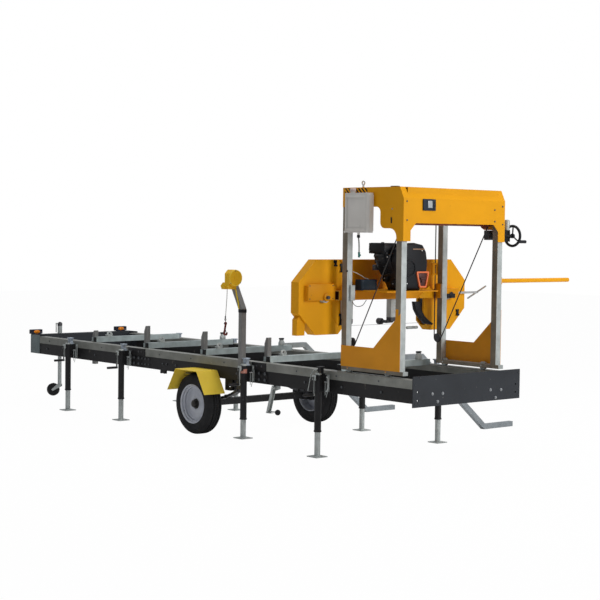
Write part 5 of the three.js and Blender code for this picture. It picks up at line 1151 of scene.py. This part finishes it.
muffler = rod("muffler", deck(5.178, -0.275, 0.268), deck(5.178, -0.02, 0.268), 0.048, 32, 0.01)
guard = [block("guard_bar", deck(5.1255, -0.262 + 0.032 * i, 0.226), deck(5.13, -0.25 + 0.032 * i, 0.312),
    0.0015) for i in range(8)]
pipe = wire("pipe", smooth_path([deck(5.185, -0.05, 0.262), deck(5.2, 0.0, 0.25), deck(5.215, 0.02, 0.2),
    deck(5.225, 0.005, 0.14)], 4), 0.014, 4)
fitted("silencer", [muffler, pipe] + guard, "head", "engine_black",
    mixed("silencer steel", (0.1, 0.085, 0.07), 0.5, 0.6, 0.3, 20, (0.22, 0.12, 0.06), 0.3, 50, 400, 0.5))

# %% Filter, covers and screws on the engine
filter_can = rod("filter", deck(5.33, -0.236, 0.055), deck(5.33, -0.17, 0.055), 0.032, 28, 0.006)
boss = rod("boss", deck(5.235, -0.246, 0.1), deck(5.235, -0.2, 0.1), 0.034, 28, 0.005)
cover = plate("side_cover", [(-0.262, DECK + 0.16), (-0.298, DECK + 0.226), (-0.33, DECK + 0.3),
    (-0.25, DECK + 0.3), (-0.23, DECK + 0.16)],
              "x", 5.175, 5.365, 0.008)
pressed(cover, looks((0, -1, 0), 0.85), 0.018, 0.004)
fitted("engine_covers", [filter_can, boss, cover], "head", "engine_black", plastic)
side_spots = ((5.19, -0.334, 0.285), (5.35, -0.334, 0.285), (5.235, -0.252, 0.1), (5.33, -0.242, 0.055))
front_spots = ((-0.195, 0.06), (-0.262, 0.18), (-0.24, 0.345), (-0.02, 0.34))
small = [rod("screw", deck(x, y, z), deck(x, y + 0.012, z), 0.006, 6, 0.001) for x, y, z in side_spots]
small += [rod("screw", deck(5.452, y, z), deck(5.4605, y, z), 0.006, 6, 0.001) for y, z in front_spots]
plug_clip = block("plug_clip", deck(5.15, -0.316, 0.168), deck(5.192, -0.266, 0.214), 0.006)
fitted("engine_screws", small, "head", "screw_steel", steel)
handed(plug_clip, "head", "engine_black", dull)
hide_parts("engine")
print("engine pieces: 11")

# %% [markdown]
# The hood is a folded sheet box, riveted at its corners, with the control panel on its front. On its
# side a striped warning strip marks the edge, and the water tank has a cap, a pressed panel and an
# outlet. Such fittings are bought in or pressed, so each is a small block or rod with eased edges.

# %% Rivets, panel and strip on the hood
hood_front = 5.8263
rivets = [(-0.581, 2.181), (-0.577, 2.028), (0.583, 2.163), (0.587, 2.007), (0.483, 2.131), (0.486, 2.032)]
bolts("hood_rivets", [at(hood_front, y, z) for y, z in rivets], (1, 0, 0), 0.0075, "carriage", "hood_yellow",
    dark_steel, False)
panel = block("control_panel", at(hood_front, -0.399, 2.109), at(hood_front + 0.012, -0.252, 2.204), 0.005, 3)
pressed(panel, looks((1, 0, 0)), 0.01, -0.002)
keys = [rod("key", at(hood_front + 0.009, y, z), at(hood_front + 0.0145, y, z), 0.008, 16, 0.002)
        for y, z in ((-0.272, 2.126), (-0.272, 2.156), (-0.272, 2.186))]
fitted("control_panel", [panel] + keys, "carriage", "hood_yellow", blue)
screen = block("panel_screen", at(hood_front + 0.0095, -0.346, 2.132), at(hood_front + 0.013, -0.296, 2.19),
    0.002)
handed(screen, "carriage", "tank_grey", mixed("pale screen", (0.42, 0.45, 0.46), 0.3, 0.0, 0.1, 30,
    (0.2, 0.2, 0.2), 0.1, 90, 500, 0.2))

side_face = -0.6166
dot = rod("side_stud", at(5.696, side_face, 2.119), at(5.696, side_face - 0.004, 2.119), 0.006, 16, 0.001)
handed(dot, "carriage", "hood_yellow", zinc)
oval = block("side_slot_cover", at(5.68, side_face - 0.0035, 2.002), at(5.694, side_face, 2.051), 0.0016, 3)
handed(oval, "carriage", "hood_yellow", plastic)
top_cap = block("hood_top_cap", at(5.66, -0.608, 2.3003), at(5.735, -0.572, 2.3075), 0.003, 2)
handed(top_cap, "carriage", "frame_galvanised", dark_steel)


def striped(name, first, second, pitch):
    """A finish of two colours in slanting stripes."""
    material = finish_of(name, first)
    tree = material.node_tree
    shader = tree.nodes["Principled BSDF"]
    split = add(tree, "ShaderNodeSeparateXYZ", {0: add(tree, "ShaderNodeTexCoord").outputs["Object"]})
    along = sum_of(tree, "DIVIDE", sum_of(tree, "ADD", split.outputs[0], split.outputs[2]), pitch)
    step = sum_of(tree, "GREATER_THAN", sum_of(tree, "FRACT", along, 0.0), 0.5)
    base = shader.inputs["Base Color"].links[0].from_socket
    tree.links.new(colour_mix(tree, step, base, (*second, 1)), shader.inputs["Base Color"])
    return material


strip = block("warning_strip", at(5.119, side_face - 0.0025, 2.255), at(5.396, side_face, 2.293), 0.0008)
handed(strip, "carriage", "hood_yellow", striped("warning stripes", YELLOW, (0.012, 0.012, 0.012), 0.04))
print("hood fittings: 7")

# %% Water tank panel, cap and outlet
tank_panel = block("tank_panel", at(5.212, -0.695, 1.936), at(5.46, -0.6917, 2.236), 0.003, 3)
pressed(tank_panel, looks((0, -1, 0)), 0.022, -0.0022)
side_panel = block("tank_side_panel", at(5.4863, -0.678, 1.936), at(5.4895, -0.63, 2.236), 0.003, 3)
fitted("tank_panels", [tank_panel, side_panel], "carriage", "tank_grey", tank_plastic)
tank_cap = turned("tank_cap", [(0, 0.0003), (0.021, 0.0003), (0.025, 0.003), (0.025, 0.02), (0.021, 0.025),
    (0, 0.026)],
                  at(5.262, -0.655, 2.2662), "z", 28)
pressed(tank_cap, lambda f: abs(f.normal.z) < 0.2 and f.calc_area() > 0.00004, 0.0009, 0.0012, each=True)
handed(tank_cap, "carriage", "tank_grey", mixed("pink-white cap", (0.62, 0.5, 0.47), 0.45, 0.0, 0.1, 30,
    (0.4, 0.35, 0.33), 0.1, 60, 400, 0.2))
collar = turned("outlet_collar", [(0.0068, 0), (0.0125, 0), (0.014, 0.006), (0.0125, 0.0255),
    (0.0068, 0.0255)],
                at(HOSE_X, HOSE_Y, 1.879), "z", 24)
handed(collar, "carriage", "hose_clear", plastic)
print("tank fittings: 3")

# %% [markdown]
# The lift gearbox hangs under the far end of the hood, and the handwheel's shaft runs into it. The
# real one is a worm gear in a cast case, with a grease cup above it.

# %% Lift gearbox and grease cup
gearbox = block("lift_gearbox", at(5.722, 0.6425, 1.862), at(5.758, 0.764, 1.96), 0.008, 3)
pressed(gearbox, lambda f: f.normal.x > 0.9 or f.normal.y > 0.9, 0.01, 0.003, each=True)
ears = [rod("gear_ear", at(5.758, y, z), at(5.764, y, z), 0.006, 6, 0.001) for y in (0.664,
    0.744) for z in (1.878, 1.944)]
fitted("lift_gearbox", [gearbox] + ears, "carriage", "handwheel_black", plastic)
cup = turned("grease_cup", [(0, 0), (0.022, 0), (0.024, 0.006), (0.024, 0.08), (0.018, 0.09), (0, 0.092)],
             at(5.742, 0.742, 1.962), "z", 32)
handed(cup, "carriage", "frame_galvanised", zinc)
case = block("drum_case", at(5.64, 0.5545, 1.873), at(5.7, 0.6115, 1.957), 0.006, 3)
pressed(case, looks((0, 1, 0)), 0.01, 0.003)
handed(case, "carriage", "handwheel_black", dark_steel)
post_clip = block("post_clip", at(5.146, -0.6165, 1.588), at(5.168, -0.6125, 1.604), 0.001)
handed(post_clip, "carriage", "frame_galvanised", dark_steel)
print("lift parts: 4")

# %% [markdown]
# Each band wheel turns behind a sheet guard. The doors of the guards are held by draw latches, and a
# fold along the door stiffens it. On the near guard a plate with a cap covers the shaft.

# %% Latches, folds and covers on the guards
GUARD_FACE = 5.0003


def latch(name, low_y, high_y, low_z, high_z):
    """A rubber draw latch: a keeper, a strap and its grip."""
    strap = block("strap", at(GUARD_FACE + 0.006, low_y + 0.006, low_z + 0.01),
        at(GUARD_FACE + 0.012, high_y - 0.006, high_z - 0.006), 0.002)
    keeper = block("keeper", at(GUARD_FACE, low_y, high_z - 0.024), at(GUARD_FACE + 0.01, high_y, high_z),
        0.003)
    pull = rod("pull", at(GUARD_FACE + 0.01, low_y, low_z + 0.008),
        at(GUARD_FACE + 0.01, high_y, low_z + 0.008), 0.008, 16, 0.003)
    return joined(name, [strap, keeper, pull])


latches = [latch("latch", -0.628, -0.594, 1.631, 1.685), latch("latch", -0.556, -0.509, 1.581, 1.656),
           latch("latch", -0.559, -0.512, 1.126, 1.227)]
fitted("near_guard_latches", latches, "head", "engine_black", plastic)
far_latches = [latch("latch", 0.594, 0.628, 1.6, 1.66), latch("latch", 0.9, 0.935, 1.17, 1.23)]
fitted("far_guard_latches", far_latches, "head", "engine_black", plastic)
fold = [block("fold", at(GUARD_FACE, -0.6445, low), at(GUARD_FACE + 0.005, -0.637, high), 0.0015) for low,
    high in ((1.49, 1.6), (1.21, 1.32))]
foot_fold = plate("fold", [(-0.6445, 1.211), (-0.637, 1.211), (-0.574, 1.137), (-0.583, 1.137)], "x",
    GUARD_FACE, GUARD_FACE + 0.005, 0.001)
fitted("near_guard_fold", fold + [foot_fold], "head", "guard_yellow", yellow)
cover_plate = block("shaft_cover", at(5.0403, -0.945, 1.347), at(5.044, -0.655, 1.483), 0.002, 2)
shaft_cap = rod("shaft_cap", at(5.043, -0.745, 1.37), at(5.062, -0.745, 1.37), 0.034, 32, 0.006)
fitted("shaft_cover", [cover_plate, shaft_cap], "head", "head_orange", orange)
screws = [(y, z) for y in (-0.93, -0.67) for z in (1.36, 1.47)]
bolts("shaft_cover_screws", [at(5.0441, y, z) for y, z in screws], (1, 0, 0), 0.005, "head", "zinc",
    dark_steel, False)
print("guard fittings: 5")

# %% Far handwheel grip
grip_ring = turned("handwheel_grip", arc_points((0.087, 0), 0.0118, 0, 337.5, 15), at(5.776, 0.777, 1.911),
    "y", 56)
handed(grip_ring, "handwheel", "handwheel_black", plastic, 60)

# %% Battery and its leads
battery = block("battery", at(5.125, -0.49, DECK - 0.0002), deck(5.215, -0.318, 0.088), 0.006, 3)
pressed(battery, lambda f: f.normal.x > 0.9 or f.normal.y < -0.9, 0.01, -0.002, each=True)
handed(battery, "head", "engine_black", blue)


def hung_wire(name, x, places, radius):
    """A smooth wire across the machine at one place along it, through (across, height)."""
    return wire(name, smooth_path([at(x, y, z) for y, z in places], 5), radius, 3)


lead = hung_wire("battery_lead", 5.15, [(-0.541, 1.592), (-0.466, 1.567), (-0.407, 1.5385), (-0.378, 1.53),
    (-0.368, 1.5235)], 0.0035)
handed(lead, "head", "wire", mixed("pale lead", (0.42, 0.41, 0.38), 0.5))
clip = block("lead_clip", at(5.143, -0.376, 1.5225), at(5.158, -0.36, 1.53), 0.002)
handed(clip, "head", "zinc", bare)
throttle = hung_wire("throttle_wire", 5.1, [(-0.494, 1.33), (-0.464, 1.299), (-0.422, 1.289), (-0.372, 1.3),
    (-0.331, 1.342)], 0.003)
handed(throttle, "head", "wire", plastic)
frame_plate = block("panel_frame", at(GUARD_FACE, -0.404, 1.502), at(GUARD_FACE + 0.004, -0.196, 1.628),
    0.001)
tool = block("tool", at(GUARD_FACE - 0.01, -0.386, 1.517), at(GUARD_FACE + 0.02, -0.216, 1.611), 0)
handed(cut_away(frame_plate, tool), "head", "head_orange", orange)
back = block("panel_back", at(GUARD_FACE, -0.3855, 1.5175), at(GUARD_FACE + 0.001, -0.2165, 1.6105), 0.0002)
handed(back, "head", "head_orange", mixed("shaded panel", (0.36, 0.13, 0.01), 0.6))
print("leads: 2")

# %% Far guard details
BEAM_FACE = 5.0808
outer = [(0.291, 1.315), (0.306, 1.245), (0.344, 1.192), (0.39, 1.153), (0.437, 1.113), (0.52, 1.1)]
inner = [(0.368, 1.314), (0.379, 1.243), (0.417, 1.191), (0.464, 1.151), (0.538, 1.11)]
chute_rim = plate("chute_rim", outer + inner[::-1], "x", 5.03, 5.07, 0.003)
handed(chute_rim, "head", "engine_black", plastic)
brace = plate("guard_brace", [(0.461, 1.455), (0.327, 1.361), (0.345, 1.345), (0.51, 1.345)], "x", BEAM_FACE,
    5.086, 0.0015)
handed(brace, "head", "guard_yellow", yellow)
pipe = rod("water_pipe", at(5.01, 0.256, 1.08), at(5.01, 0.388, 1.08), 0.013, 20, 0.002)
handed(pipe, "head", "zinc", zinc)
bracket = block("guard_bracket", at(BEAM_FACE, 0.483, 1.551), at(5.1, 0.559, 1.66), 0.003)
pressed(bracket, looks((1, 0, 0)), 0.014, -0.004)
handed(bracket, "head", "head_orange", orange)
bearing = block("far_bearing", at(BEAM_FACE, 0.691, 1.339), at(5.09, 0.796, 1.38), 0.004, 3)
bearing_cap = rod("bearing_cap", at(5.085, 0.745, 1.37), at(5.096, 0.745, 1.37), 0.026, 28, 0.004)
fitted("far_bearing", [bearing, bearing_cap], "head", "engine_black", plastic)
print("far guard fittings: 5")
